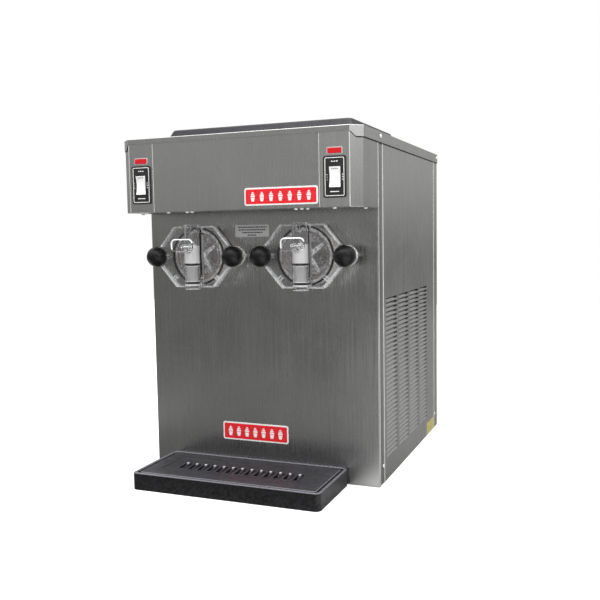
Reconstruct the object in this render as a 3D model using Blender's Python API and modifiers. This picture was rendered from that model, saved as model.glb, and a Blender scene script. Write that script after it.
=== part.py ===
"""Twin-cylinder countertop soft serve machine.

Metres, +Z up. The machine faces -Y. Every piece hangs from one empty, whose
local frame has its origin on the counter, under the middle of the front
panel: local y = 0 is the front panel's outer face. The empty moves that frame
back so that the world origin is under the middle of the whole object.
"""

import math

import bmesh
import bpy
from mathutils import Matrix, Vector

# ---------------------------------------------------------------- dimensions
HALF_W = 0.2794          # body half width (22 in machine)
SHEET = 0.0012           # front and header sheet thickness
SIDE_SHEET = 0.0010
GAP = 0.0004             # clearance between neighbouring pieces
BODY_BACK = 0.5950
BODY_BOTTOM = 0.0015

HEADER_FRONT = -0.1180
HEADER_BOTTOM = 0.6070
HEADER_TOP = 0.7660
CHAMFER_X, CHAMFER_Y = 0.0230, 0.0214
SEAM_LEFT, SEAM_RIGHT = -0.1950, 0.1930

LID_TOP = 0.7686
LID_OVERHANG = 0.0016
LID_FRONT_LIP = 0.0118
LID_SIDE_LIP = 0.0229
LID_BACK = 0.5970

COVER_TOP = 0.7994       # hopper cover
COVER_FRONT, COVER_REAR = -0.0050, 0.3450
COVER_HALF = 0.2340
COVER_DRAFT = 0.0142

CYL_X = 0.1300           # freezing cylinder axes
CYL_Z = 0.5080
CYL_FRONT = 0.0380       # collar stands this far out of the panel
CYL_REAR = 0.4000
CYL_BORE = 0.0545
COLLAR_R = 0.0655
JACKET_R = 0.0750
STUD_X = 0.0956          # stud offset either side of the cylinder axis
STUD_R = 0.0040
STUD_END = 0.0700

DOOR_BACK = 0.0420       # distances out of the panel
DOOR_PLATE = 0.0500
DOOR_RIM = 0.0635
BARREL_Y = -0.0720
BARREL_R = 0.0175
BARREL_BORE = 0.0135
BARREL_LOW, BARREL_HIGH = 0.4355, 0.5790

PLUNGER_R = 0.0131
PLUNGER_LOW, PLUNGER_HIGH = 0.4430, 0.5355
SEAL_Z = (0.4891, 0.4480)

PIVOT_Y, PIVOT_Z = -0.0930, 0.5300
FINGER_L = 0.0205
FINGER_REST = math.radians(20)

KNOB_R = 0.0230
KNOB_Y = -0.0655

TRAY_X0, TRAY_X1 = -0.2335, 0.2075
TRAY_FRONT, TRAY_BACK = -0.1850, -0.0006
TRAY_TOP = 0.0385
SLOT_COUNT = 13

SWITCH_X = 0.2253
ROCKER_X = 0.2261
ROCKER_Z = 0.6670
ROCKER_PIVOT_Y = -0.1190

DASHER_ANGLE = math.radians(35)  # one arm of the cross points up and right

LOUVER_COLUMNS = ((0.058, 0.150), (0.168, 0.257), (0.272, 0.363), (0.380, 0.461))
LOUVER_TOP = 0.4110
LOUVER_PITCH = 0.01031
LOUVER_ROWS = 35

CORD_BACK = 0.6370       # the plug's rearmost face
FRAME_Y = -(TRAY_FRONT + CORD_BACK) / 2

# ------------------------------------------------------------------ the scene
for old in list(bpy.data.objects):
    bpy.data.objects.remove(old, do_unlink=True)

parts = bpy.data.collections.new("soft_serve_machine")
cutters = bpy.data.collections.new("cutters")
for made in (parts, cutters):
    bpy.context.scene.collection.children.link(made)
cutters.hide_render = True

root = bpy.data.objects.new("machine_frame", None)
root.location = (0, FRAME_Y, 0)
parts.objects.link(root)

STEEL = ((0.50, 0.50, 0.48), 0.32, 1.0)
STEEL_DARK = ((0.36, 0.37, 0.35), 0.34, 1.0)
BRIGHT = ((0.72, 0.72, 0.71), 0.18, 1.0)
ZINC = ((0.45, 0.46, 0.47), 0.45, 1.0)
BLACK = ((0.025, 0.024, 0.028), 0.45, 0.0)
RUBBER = ((0.015, 0.015, 0.015), 0.7, 0.0)
CLEAR = ((0.86, 0.88, 0.88), 0.06, 0.0)
WHITE = ((0.83, 0.83, 0.82), 0.35, 0.0)
RED = ((0.70, 0.02, 0.03), 0.15, 0.0)
MOTOR = ((0.05, 0.055, 0.06), 0.4, 0.0)
COPPER = ((0.62, 0.30, 0.18), 0.35, 1.0)


def finish_of(name, look):
    colour, rough, metal = look
    made = bpy.data.materials.new(name + "_finish")
    made.use_nodes = True
    shader = made.node_tree.nodes["Principled BSDF"]
    shader.inputs["Base Color"].default_value = (*colour, 1)
    shader.inputs["Roughness"].default_value = rough
    shader.inputs["Metallic"].default_value = metal
    if look is CLEAR:
        shader.inputs["Transmission Weight"].default_value = 1.0
        shader.inputs["IOR"].default_value = 1.49
    made.diffuse_color = (*colour, 1)
    return made


def place(name, mesh, look=None, at=(0, 0, 0), turn=(0, 0, 0)):
    """A piece if it has a look, otherwise a helper that cuts or joins."""
    made = bpy.data.objects.new(name, mesh)
    made.location = at
    made.rotation_euler = turn
    made.parent = root
    if look is None:
        cutters.objects.link(made)
        made.hide_render = True
        made.display_type = "WIRE"
    else:
        parts.objects.link(made)
        mesh.materials.append(finish_of(name, look))
    return made


def box(name, low, high, look=None, at=(0, 0, 0), taper=0.0):
    """A box between two corners. taper pulls its top in on all four sides."""
    bm = bmesh.new()
    bmesh.ops.create_cube(bm, size=1)
    low, high = Vector(low), Vector(high)
    middle, size = (low + high) / 2, high - low
    for v in bm.verts:
        top = v.co.z > 0
        v.co = Vector(v.co[i] * size[i] + middle[i] - at[i] for i in range(3))
        if top and taper:
            v.co.x -= math.copysign(taper, v.co.x + at[0] - middle.x)
            v.co.y -= math.copysign(taper, v.co.y + at[1] - middle.y)
    mesh = bpy.data.meshes.new(name)
    bm.to_mesh(mesh)
    bm.free()
    return place(name, mesh, look, at)


def boxes(name, corners):
    """Many separate boxes as one cutter."""
    bm = bmesh.new()
    for low, high in corners:
        low, high = Vector(low), Vector(high)
        size = high - low
        bmesh.ops.create_cube(
            bm,
            size=1,
            matrix=Matrix.Translation((low + high) / 2) @ Matrix.Diagonal((*size, 1)),
        )
    mesh = bpy.data.meshes.new(name)
    bm.to_mesh(mesh)
    bm.free()
    return place(name, mesh)


TURN = {"Z": (0, 0, 0), "-Y": (math.pi / 2, 0, 0), "X": (0, math.pi / 2, 0)}


def rod(name, start, length, radius, axis="Z", look=None, sides=24):
    """A round bar from start, along Z, -Y or X."""
    bm = bmesh.new()
    bmesh.ops.create_cone(
        bm, cap_ends=True, segments=sides, radius1=radius, radius2=radius, depth=length
    )
    for v in bm.verts:
        v.co.z += length / 2
    mesh = bpy.data.meshes.new(name)
    bm.to_mesh(mesh)
    bm.free()
    mesh.shade_smooth()
    mesh.set_sharp_from_angle(angle=math.radians(35))
    return place(name, mesh, look, start, TURN[axis])


def lathe(name, profile, look=None, at=(0, 0, 0), axis="Z", steps=24, ring=False):
    """A turned shape: profile is (radius, height) down the outer side, top to bottom."""
    mesh = bpy.data.meshes.new(name)
    count = len(profile)
    edges = [(i, i + 1) for i in range(count - 1)]
    if ring:
        edges.append((count - 1, 0))
    mesh.from_pydata([(r, 0, z) for r, z in profile], edges, [])
    made = place(name, mesh, look, at, TURN[axis])
    screw = made.modifiers.new("turn", "SCREW")
    screw.steps = screw.render_steps = steps
    screw.use_merge_vertices = True
    screw.merge_threshold = 0.00005
    screw.use_smooth_shade = True
    return made


def slab(name, outline, thickness, look=None, at=(0, 0, 0), turn=(0, 0, 0)):
    """A flat outline given depth on both sides of its plane, as a mesh."""
    curve = bpy.data.curves.new(name + "_outline", "CURVE")
    curve.dimensions = "2D"
    curve.fill_mode = "BOTH"
    curve.extrude = thickness / 2
    line = curve.splines.new("POLY")
    line.points.add(len(outline) - 1)
    for point, (x, y) in zip(line.points, outline):
        point.co = (x, y, 0, 1)
    line.use_cyclic_u = True
    return meshed(name, curve, look, at, turn)


def meshed(name, curve, look, at, turn=(0, 0, 0)):
    guide = bpy.data.objects.new(name + "_curve", curve)
    cutters.objects.link(guide)
    bpy.context.view_layer.update()
    graph = bpy.context.evaluated_depsgraph_get()
    mesh = bpy.data.meshes.new_from_object(guide.evaluated_get(graph))
    mesh.name = name
    bpy.data.objects.remove(guide, do_unlink=True)
    bm = bmesh.new()
    bm.from_mesh(mesh)
    bmesh.ops.remove_doubles(bm, verts=bm.verts, dist=0.00001)
    bmesh.ops.recalc_face_normals(bm, faces=bm.faces)
    bm.to_mesh(mesh)
    bm.free()
    mesh.materials.clear()
    return place(name, mesh, look, at, turn)


def combine(piece, how, *others):
    for other in others:
        step = piece.modifiers.new(other.name, "BOOLEAN")
        step.operation = how
        step.object = other
    return piece


def join(piece, *others):
    return combine(piece, "UNION", *others)


def cut(piece, *others):
    return combine(piece, "DIFFERENCE", *others)


def arc(cx, cy, radius, start, end, steps):
    return [
        (
            cx + radius * math.cos(math.radians(start + (end - start) * i / steps)),
            cy + radius * math.sin(math.radians(start + (end - start) * i / steps)),
        )
        for i in range(steps + 1)
    ]


def rounded(x0, y0, x1, y1, r, steps=4):
    """A rounded rectangle, counter-clockwise."""
    return (
        arc(x1 - r, y0 + r, r, -90, 0, steps)
        + arc(x1 - r, y1 - r, r, 0, 90, steps)
        + arc(x0 + r, y1 - r, r, 90, 180, steps)
        + arc(x0 + r, y0 + r, r, 180, 270, steps)
    )


SIDES = (("left", -1), ("right", 1))

# ------------------------------------------------------------------- chassis
chassis = box("chassis", (-0.2770, 0.0045, 0.0045), (0.2770, 0.5905, 0.0300), ZINC)
cut(chassis, box("pan_hollow", (-0.2755, 0.0060, 0.0065), (0.2755, 0.5890, 0.0400)))
for side, s in SIDES:
    post = [(0.2780, 0.0018), (0.2780, 0.0400), (0.2762, 0.0400), (0.2762, 0.0036), (0.2560, 0.0036), (0.2560, 0.0018)]
    back = [(0.2780, 0.5930), (0.2560, 0.5930), (0.2560, 0.5912), (0.2762, 0.5912), (0.2762, 0.5550), (0.2780, 0.5550)]
    for label, shape in (("front", post), ("rear", back)):
        outline = [(s * x, y) for x, y in shape]
        join(
            chassis,
            slab(f"{label}_post_{side}", outline[::s], 0.7510, at=(0, 0, 0.0035 + 0.3755)),
        )
beams = (
    ((-0.2770, 0.0025, 0.6110), (0.2770, 0.0200, 0.6250)),
    ((-0.2770, 0.0600, 0.4150), (0.2770, 0.0800, 0.4300)),
    ((-0.2770, 0.3300, 0.4150), (0.2770, 0.3500, 0.4300)),
    ((-0.2770, 0.4300, 0.4400), (0.2770, 0.4500, 0.4550)),
    ((-0.2770, 0.5700, 0.7100), (0.2770, 0.5920, 0.7400)),
)
for i, (low, high) in enumerate(beams):
    join(chassis, box(f"beam_{i}", low, high))
for side, s in SIDES:
    ends = sorted((s * 0.2650, s * 0.2775))
    join(chassis, box(f"rail_low_{side}", (ends[0], 0.0025, 0.4120), (ends[1], 0.5925, 0.4290)))
    join(chassis, box(f"rail_low2_{side}", (ends[0], 0.4290 - 0.0040, 0.4250), (ends[1], 0.4530, 0.4540)))
    join(chassis, box(f"rail_top_{side}", (ends[0], 0.0025, 0.7120), (ends[1], 0.5925, 0.7380)))

# --------------------------------------------------------------- outer panels
front = box("front_panel", (-HALF_W, 0, BODY_BOTTOM), (HALF_W, 0.0055, HEADER_BOTTOM - GAP), STEEL_DARK)
cut(front, box("front_fold", (-HALF_W + SHEET - 0.0002, SHEET, 0), (HALF_W - SHEET + 0.0002, 0.02, 0.7)))
for side, s in SIDES:
    cut(front, rod(f"collar_hole_{side}", (s * CYL_X, 0.02, CYL_Z), 0.04, COLLAR_R + 0.0012, "-Y", sides=24))
    for k, t in enumerate((-1, 1)):
        cut(front, rod(f"stud_hole_{side}_{k}", (s * CYL_X + t * STUD_X, 0.02, CYL_Z), 0.04, 0.0052, "-Y", sides=12))

inner = HALF_W - SIDE_SHEET
left_panel = box("left_side_panel", (-HALF_W, 0.0368, BODY_BOTTOM), (-inner, 0.5520, 0.7600), STEEL)
right_panel = box("right_side_panel", (inner, 0.0368, BODY_BOTTOM), (HALF_W, 0.5520, 0.7600), STEEL)
slots = []
for y0, y1 in LOUVER_COLUMNS:
    for row in range(LOUVER_ROWS):
        z = LOUVER_TOP - LOUVER_PITCH * (row + 0.5)
        slots.append(((inner - 0.005, y0, z - 0.0030), (HALF_W + 0.005, y1, z + 0.0012)))
cut(right_panel, boxes("louver_slots", slots))

rear = box("rear_panel", (-HALF_W, 0.5545, BODY_BOTTOM), (HALF_W, BODY_BACK, 0.7600), STEEL)
cut(rear, box("rear_fold", (-inner, 0.5500, -0.01), (inner, BODY_BACK - SHEET, 0.8)))
slots = []
for x0 in (0.030, 0.140):
    for row in range(12):
        z = 0.110 + 0.022 * row
        slots.append(((x0, BODY_BACK - 0.006, z), (x0 + 0.090, BODY_BACK + 0.005, z + 0.007)))
cut(rear, boxes("exhaust_slots", slots))
CORD_X, CORD_Z = -0.180, 0.060
cut(rear, rod("cord_hole", (CORD_X, 0.61, CORD_Z), 0.04, 0.0080, "-Y", sides=16))

# ----------------------------------------------------------- header and switches


def plan(d, back):
    """Plan of the chamfered header, grown outwards by d, open to the back at y = back."""
    right = [
        (HALF_W - CHAMFER_X + 0.393 * d, HEADER_FRONT - d),
        (HALF_W + d, HEADER_FRONT + CHAMFER_Y - 0.4355 * d),
        (HALF_W + d, back),
    ]
    return [(-x, y) for x, y in right] [::-1], right


def header_corner(name, s, seam):
    def shape(d, back, near):
        right = plan(d, back)[1]
        line = [(near, right[0][1]), *right, (near, back)]
        return [(s * x, y) for x, y in line][::s]

    height = HEADER_TOP - HEADER_BOTTOM
    piece = slab(name, shape(0, 0.0050, seam), height, STEEL, (0, 0, HEADER_BOTTOM + height / 2))
    hollow = slab(name + "_hollow", shape(-SHEET, 0.0200, seam - 0.02), height, None, (0, 0, HEADER_BOTTOM + SHEET + height / 2))
    xs = sorted((s * (seam - 0.02), s * (HALF_W - SHEET)))
    ledge = box(name + "_ledge", (xs[0], 0.0013, 0.59), (xs[1], 0.02, 0.78))
    x = s * ROCKER_X
    opening = box(name + "_switch", (x - 0.0145, HEADER_FRONT - 0.01, ROCKER_Z - 0.0245), (x + 0.0145, HEADER_FRONT + 0.01, ROCKER_Z + 0.0245))
    x = s * SWITCH_X
    lamp = box(name + "_lamp", (x - 0.0152, HEADER_FRONT - 0.01, 0.7136), (x + 0.0152, HEADER_FRONT + 0.01, 0.7251))
    return cut(piece, hollow, ledge, opening, lamp)


header_corner("header_right_panel", 1, SEAM_RIGHT + GAP / 2)
header_corner("header_left_panel", -1, -SEAM_LEFT + GAP / 2)
centre = box("header_centre_panel", (SEAM_LEFT + GAP / 2, HEADER_FRONT, HEADER_BOTTOM), (SEAM_RIGHT - GAP / 2, 0.0013, HEADER_TOP), STEEL)
cut(centre, box("centre_fold", (-0.3, HEADER_FRONT + SHEET, HEADER_BOTTOM + SHEET), (0.3, 0.02, 0.8)))

for side, s in SIDES:
    x = s * SWITCH_X
    face = HEADER_FRONT - 0.0003
    plate = slab(
        f"switch_plate_{side}",
        rounded(x - 0.0242, 0.6260, x + 0.0242, 0.7092, 0.0050),
        0.0022,
        BLACK,
        (0, face - 0.0011, 0),
        (math.pi / 2, 0, 0),
    )
    x = s * ROCKER_X
    join(plate, box(f"switch_body_{side}", (x - 0.0140, face - 0.0010, ROCKER_Z - 0.0240), (x + 0.0140, face + 0.0220, ROCKER_Z + 0.0240)))
    cut(plate, box(f"switch_well_{side}", (x - 0.0122, face - 0.01, ROCKER_Z - 0.0214), (x + 0.0122, face + 0.0190, ROCKER_Z + 0.0214)))
    profile = [(-0.0036, 0.0203), (-0.0010, 0.0), (-0.0036, -0.0203), (0.0006, -0.0205), (0.0075, -0.0115), (0.0075, 0.0115), (0.0006, 0.0205)]
    rocker = slab(
        f"rocker_{side}",
        [(y, z) for y, z in profile],
        0.0236,
        WHITE,
        (x, ROCKER_PIVOT_Y, ROCKER_Z),
        (math.pi / 2, 0, math.pi / 2),
    )
    x = s * SWITCH_X
    box(f"indicator_{side}", (x - 0.0148, HEADER_FRONT - 0.0028, 0.7140), (x + 0.0148, HEADER_FRONT + 0.0160, 0.7247), RED)

# -------------------------------------------------------------------- lid


def lid_outline(d, back):
    left, right = plan(d, back)
    return [*left, *right]


lid = slab("top_cover", lid_outline(LID_OVERHANG, LID_BACK), LID_SIDE_LIP, STEEL, (0, 0, LID_TOP - LID_SIDE_LIP / 2))
cut(
    lid,
    slab("lid_hollow", lid_outline(GAP, LID_BACK - SHEET), 0.0400, None, (0, 0, LID_TOP - SHEET - 0.0200)),
    slab(
        "lid_front_trim",
        [(-0.2690, 0.7440), (0.2690, 0.7440), (0.2575, LID_TOP - LID_FRONT_LIP), (-0.2575, LID_TOP - LID_FRONT_LIP)],
        0.0300,
        None,
        (0, -0.1150, 0),
        (math.pi / 2, 0, 0),
    ),
    box("hopper_mouth_left", (-0.2030, 0.0350, 0.75), (-0.0220, 0.3000, 0.79)),
    box("hopper_mouth_right", (0.0220, 0.0350, 0.75), (0.2030, 0.3000, 0.79)),
)
cover = box("hopper_cover", (-COVER_HALF, COVER_FRONT, LID_TOP + GAP), (COVER_HALF, COVER_REAR, COVER_TOP), BLACK, at=(0, 0.17, LID_TOP), taper=COVER_DRAFT)
cut(cover, box("cover_hollow", (-COVER_HALF + 0.0035, COVER_FRONT + 0.0035, LID_TOP - 0.001), (COVER_HALF - 0.0035, COVER_REAR - 0.0035, COVER_TOP - 0.0035), taper=COVER_DRAFT))

# ------------------------------------------------- cylinders, dashers, motors
FEED_Y = 0.2600
for side, s in SIDES:
    x = s * CYL_X
    cylinder = lathe(
        f"freezing_cylinder_{side}",
        [(0, CYL_FRONT), (COLLAR_R, CYL_FRONT), (COLLAR_R, -0.0040), (JACKET_R, -0.0040), (JACKET_R, -CYL_REAR), (0, -CYL_REAR)],
        BRIGHT,
        (x, 0, CYL_Z),
        "-Y",
        24,
    )
    join(cylinder, box(f"mounting_ears_{side}", (x - 0.1120, 0.0020, CYL_Z - 0.0240), (x + 0.1120, 0.0070, CYL_Z + 0.0240)))
    for k, t in enumerate((-1, 1)):
        join(cylinder, rod(f"stud_{side}_{k}", (x + t * STUD_X, 0.0060, CYL_Z), 0.0060 + STUD_END, STUD_R, "-Y", sides=10))
    cut(
        cylinder,
        lathe(
            f"cylinder_bore_{side}",
            [(0, 0.05), (CYL_BORE, 0.05), (CYL_BORE, -0.3920), (0.0112, -0.3920), (0.0112, -0.41), (0, -0.41)],
            None,
            (x, 0, CYL_Z),
            "-Y",
            24,
        ),
        rod(f"feed_port_{side}", (x, FEED_Y, CYL_Z + 0.04), 0.05, 0.0110, sides=12),
    )

    # dasher: shaft, rear plate, four bars and a cross at the front
    dasher = lathe(
        f"dasher_{side}",
        [(0, -0.3700), (0.0440, -0.3700), (0.0440, -0.3780), (0.0100, -0.3780), (0.0100, -0.4400), (0, -0.4400)],
        BRIGHT,
        (x, 0, CYL_Z),
        "-Y",
        16,
    )
    for k, (dx, dz) in enumerate(((0.0400, 0), (-0.0400, 0), (0, 0.0400), (0, -0.0400))):
        join(dasher, box(f"dasher_bar_{side}_{k}", (x + dx - 0.0035, -0.0240, CYL_Z + dz - 0.0035), (x + dx + 0.0035, 0.3750, CYL_Z + dz + 0.0035)))
    join(
        dasher,
        box(f"dasher_cross_{side}_0", (x - 0.0420, -0.0250, CYL_Z - 0.0050), (x + 0.0420, -0.0180, CYL_Z + 0.0050)),
        box(f"dasher_cross_{side}_1", (x - 0.0050, -0.0245, CYL_Z - 0.0420), (x + 0.0050, -0.0185, CYL_Z + 0.0420)),
        rod(f"dasher_nose_{side}", (x, -0.0170, CYL_Z), 0.0100, 0.0110, "-Y", sides=10),
    )
    spin = Matrix.Rotation(-DASHER_ANGLE, 3, "Y")
    dasher.rotation_euler = (spin @ dasher.rotation_euler.to_matrix()).to_euler()
    for k, t in enumerate((-1, 1)):
        ends = sorted((x + t * 0.0440, x + t * 0.0528))
        blade = box(f"scraper_blade_{side}_{k + 1}", (ends[0], -0.0200, CYL_Z - 0.0025 + t * 0.001), (ends[1], 0.3680, CYL_Z + 0.0025 + t * 0.001), WHITE, at=(x, 0, CYL_Z))
        blade.rotation_euler = (0, -DASHER_ANGLE, 0)

    # motor with its gearbox, behind the cylinder
    motor = box(f"gear_motor_{side}", (x - 0.0450, 0.4160, CYL_Z - 0.0500), (x + 0.0450, 0.4700, CYL_Z + 0.0500), MOTOR)
    join(motor, rod(f"motor_can_{side}", (x, 0.5800, CYL_Z), 0.1110, 0.0480, "-Y", sides=20))
    cut(motor, rod(f"motor_bore_{side}", (x, 0.4450, CYL_Z), 0.0500, 0.0106, "-Y", sides=16))

    # hopper and its feed tube
    h = s * 0.1125
    hopper = box(f"hopper_{side}", (h - 0.0925, 0.0330, 0.6120), (h + 0.0925, 0.3020, 0.7655), BRIGHT)
    join(hopper, box(f"hopper_rim_{side}", (h - 0.1010, 0.0250, 0.7640), (h + 0.1010, 0.3100, 0.7658)))
    cut(
        hopper,
        box(f"hopper_hollow_{side}", (h - 0.0912, 0.0343, 0.6135), (h + 0.0912, 0.3007, 0.78)),
        rod(f"hopper_drain_{side}", (x, FEED_Y, 0.60), 0.03, 0.0130, sides=12),
    )
    lathe(
        f"feed_tube_{side}",
        [(0.0095, 0.7000), (0.0095, 0.6180), (0.0155, 0.6180), (0.0155, 0.6139), (0.0095, 0.6139), (0.0095, 0.5660), (0.0065, 0.5660), (0.0065, 0.7000)],
        BRIGHT,
        (x, FEED_Y, 0),
        "Z",
        12,
        True,
    )

# --------------------------------------------------------------- dispensing doors
for side, s in SIDES:
    x = s * CYL_X

    def door_slab(name, outline, near, far, look=None):
        """An outline in the door's plane, from near to far, both measured out of the panel."""
        return slab(name, outline, far - near, look, (x, -(near + far) / 2, CYL_Z), (math.pi / 2, 0, 0))

    outer = [(0.0480, -0.0690), (0.1070, 0), (0.0510, 0.0680)]
    outer = outer + [(-u, v) for u, v in outer[::-1]]
    inset = [(0.0462, -0.0650), (0.1018, 0), (0.0491, 0.0640)]
    inset = inset + [(-u, v) for u, v in inset[::-1]]
    door = door_slab(f"door_{side}", outer, DOOR_BACK, DOOR_RIM, CLEAR)
    cut(door, door_slab(f"door_recess_{side}", inset, DOOR_PLATE, 0.0800))
    for k, t in enumerate((-1, 1)):
        stud = x + t * STUD_X
        cut(door, rod(f"knob_clear_{side}_{k}", (stud, -DOOR_PLATE, CYL_Z), 0.03, 0.0262, "-Y", sides=20))
        join(door, rod(f"door_ear_{side}_{k}", (stud, -DOOR_BACK, CYL_Z), DOOR_PLATE - DOOR_BACK, 0.0225, "-Y", sides=20))
    ribs = []
    for angle in (38, 142, 218, 322):
        c, q = math.cos(math.radians(angle)), math.sin(math.radians(angle))
        line = [(0.0570, 0.0015), (0.0570, -0.0015), (0.0790, -0.0015), (0.0790, 0.0015)]
        ribs.append([(u * c - v * q, u * q + v * c) for u, v in line][::-1])
    for k, line in enumerate(ribs):
        join(door, door_slab(f"door_rib_{side}_{k}", line, 0.0490, 0.0600))
    join(
        door,
        lathe(
            f"door_hoop_{side}",
            [(0.0600, 0.0580), (0.0600, 0.0490), (0.0570, 0.0490), (0.0570, 0.0580)],
            None, (x, 0, CYL_Z), "-Y", 24, True,
        ),
        lathe(
            f"door_plug_{side}",
            [(0.0536, 0.0440), (0.0536, 0.0300), (0.0490, 0.0300), (0.0490, 0.0440)],
            None, (x, 0, CYL_Z), "-Y", 24, True,
        ),
        box(f"barrel_web_{side}", (x - 0.0172, BARREL_Y, BARREL_LOW + 0.0080), (x + 0.0172, -0.0480, BARREL_HIGH - 0.0030)),
        rod(f"barrel_tube_{side}", (x, BARREL_Y, BARREL_LOW), BARREL_HIGH - BARREL_LOW, BARREL_R, sides=20),
    )
    for k, t in enumerate((-1, 1)):
        ends = sorted((x + t * 0.0046, x + t * 0.0110))
        join(door, box(f"pin_lug_{side}_{k}", (ends[0], -0.0982, PIVOT_Z - 0.0075), (ends[1], -0.0800, PIVOT_Z + 0.0075)))
    cut(
        door,
        rod(f"barrel_bore_{side}", (x, BARREL_Y, BARREL_LOW - 0.01), 0.17, BARREL_BORE, sides=20),
        box(f"barrel_slot_{side}", (x - 0.0045, -0.1050, PIVOT_Z - 0.0150), (x + 0.0045, BARREL_Y, PIVOT_Z + 0.0150)),
        rod(f"spout_port_{side}", (x, -0.0400, 0.4555), 0.0300, 0.0055, "-Y", sides=12),
        rod(f"pin_hole_{side}", (x - 0.03, PIVOT_Y, PIVOT_Z), 0.06, 0.0024, "X", sides=8),
    )
    for k, t in enumerate((-1, 1)):
        cut(door, rod(f"ear_hole_{side}_{k}", (x + t * STUD_X, 0, CYL_Z), 0.09, 0.0052, "-Y", sides=10))

    lathe(
        f"door_gasket_{side}",
        [(0.0650, 0.0417), (0.0650, 0.0383), (0.0620, 0.0383), (0.0620, 0.0417)],
        RUBBER, (x, 0, CYL_Z), "-Y", 24, True,
    )
    rod(f"handle_pin_{side}", (x - 0.0120, PIVOT_Y, PIVOT_Z), 0.0240, 0.0020, "X", ZINC, 8)

    # plunger with two seal grooves and a flared slot for the handle's finger
    finger_z = PIVOT_Z - FINGER_L * math.sin(FINGER_REST)
    groove = 0.0019
    line = [(0, PLUNGER_HIGH), (PLUNGER_R, PLUNGER_HIGH)]
    line += [(PLUNGER_R, SEAL_Z[0] + groove), (0.0101, SEAL_Z[0] + groove), (0.0101, SEAL_Z[0] - groove)]
    line += [(PLUNGER_R, SEAL_Z[0] - groove), (PLUNGER_R, 0.4850), (0.0112, 0.4840), (0.0112, 0.4530), (PLUNGER_R, 0.4520)]
    line += [(PLUNGER_R, SEAL_Z[1] + groove), (0.0101, SEAL_Z[1] + groove), (0.0101, SEAL_Z[1] - groove), (PLUNGER_R, SEAL_Z[1] - groove)]
    line += [(PLUNGER_R, PLUNGER_LOW), (0, PLUNGER_LOW)]
    plunger = lathe(f"plunger_{side}", [(r, z - CYL_Z) for r, z in line], WHITE, (x, BARREL_Y, CYL_Z), "Z", 16)
    cut(
        plunger,
        box(f"finger_slot_{side}", (x - 0.0041, -0.0900, finger_z - 0.0042), (x + 0.0041, -0.0690, finger_z + 0.0042)),
        box(f"finger_flare_{side}", (x - 0.0041, -0.0900, finger_z - 0.0075), (x + 0.0041, -0.0765, finger_z + 0.0075)),
    )
    for k, z in enumerate(SEAL_Z):
        round_section = [(0.0118 + 0.0014 * math.cos(a), 0.0014 * math.sin(a)) for a in (math.radians(72 - 72 * i) for i in range(5))]
        lathe(f"plunger_seal_{side}_{('upper', 'lower')[k]}", round_section, RUBBER, (x, BARREL_Y, z), "Z", 14, True)

    # handle: paddle, arm, hub and finger, about the pin
    tip = (FINGER_L * math.cos(FINGER_REST), -FINGER_L * math.sin(FINGER_REST))
    lean = -math.degrees(FINGER_REST)
    shape = (
        [(-0.0230, 0.0045), (-0.0230, -0.0040)]
        + arc(0, 0, 0.0062, 215, 300, 4)
        + [(0.0075, -0.0040)]
        + arc(tip[0], tip[1], 0.0032, lean - 120, lean + 120, 8)
        + [(0.0075, -0.0016)]
        + arc(0, 0, 0.0062, 20, 130, 5)
    )
    handle = slab(
        f"handle_{side}", shape, 0.0068, CLEAR, (x, PIVOT_Y, PIVOT_Z), (math.pi / 2, 0, math.pi / 2)
    )
    join(handle, slab(f"paddle_{side}", rounded(-0.0270, -0.0105, 0.0270, 0.0180, 0.0105, 5), 0.0060, None, (x, PIVOT_Y - 0.0230, PIVOT_Z), (math.pi / 2, 0, 0)))
    cut(handle, rod(f"handle_hole_{side}", (x - 0.02, PIVOT_Y, PIVOT_Z), 0.04, 0.0024, "X", sides=8))

    # two ball knobs on the studs
    for k, t in enumerate((-1, 1)):
        flat = 0.0152
        end = math.degrees(math.asin(-flat / KNOB_R))
        ball = [(KNOB_R * math.cos(math.radians(90 + (end - 90) * i / 6)), KNOB_R * math.sin(math.radians(90 + (end - 90) * i / 6))) for i in range(7)]
        ball[0] = (0, KNOB_R)
        lathe(
            f"knob_{side}_{('outer', 'inner')[(t * s < 0)]}",
            ball + [(0.0046, -flat), (0.0046, 0.0070), (0, 0.0070)],
            BLACK,
            (x + t * STUD_X, KNOB_Y, CYL_Z),
            "-Y",
            14,
        )

# ------------------------------------------------------------------- drip tray
tray = slab("drip_tray", rounded(TRAY_X0, TRAY_FRONT, TRAY_X1, TRAY_BACK, 0.0120), TRAY_TOP - 0.0006, BLACK, (0, 0, (TRAY_TOP + 0.0006) / 2))
cut(
    tray,
    slab("tray_recess", rounded(TRAY_X0 + 0.0075, TRAY_FRONT + 0.0075, TRAY_X1 - 0.0075, TRAY_BACK - 0.0060, 0.0070, 3), 0.02, None, (0, 0, 0.0330 + 0.01)),
    slab("tray_basin", rounded(TRAY_X0 + 0.0185, TRAY_FRONT + 0.0185, TRAY_X1 - 0.0185, TRAY_BACK - 0.0170, 0.0060, 2), 0.05, None, (0, 0, 0.0040 + 0.025)),
)
grid = slab("drip_tray_grid", rounded(TRAY_X0 + 0.0125, TRAY_FRONT + 0.0125, TRAY_X1 - 0.0125, TRAY_BACK - 0.0110, 0.0063, 3), 0.0044, BLACK, (0, 0, 0.0334 + 0.0022))
first, last = -0.1480, 0.1260
slots = []
for i in range(SLOT_COUNT):
    x = first + (last - first) * i / (SLOT_COUNT - 1)
    slots.append(((x - 0.0035, -0.1280, 0.02), (x + 0.0035, -0.0840, 0.05)))
cut(grid, boxes("grid_slots", slots))

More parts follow.
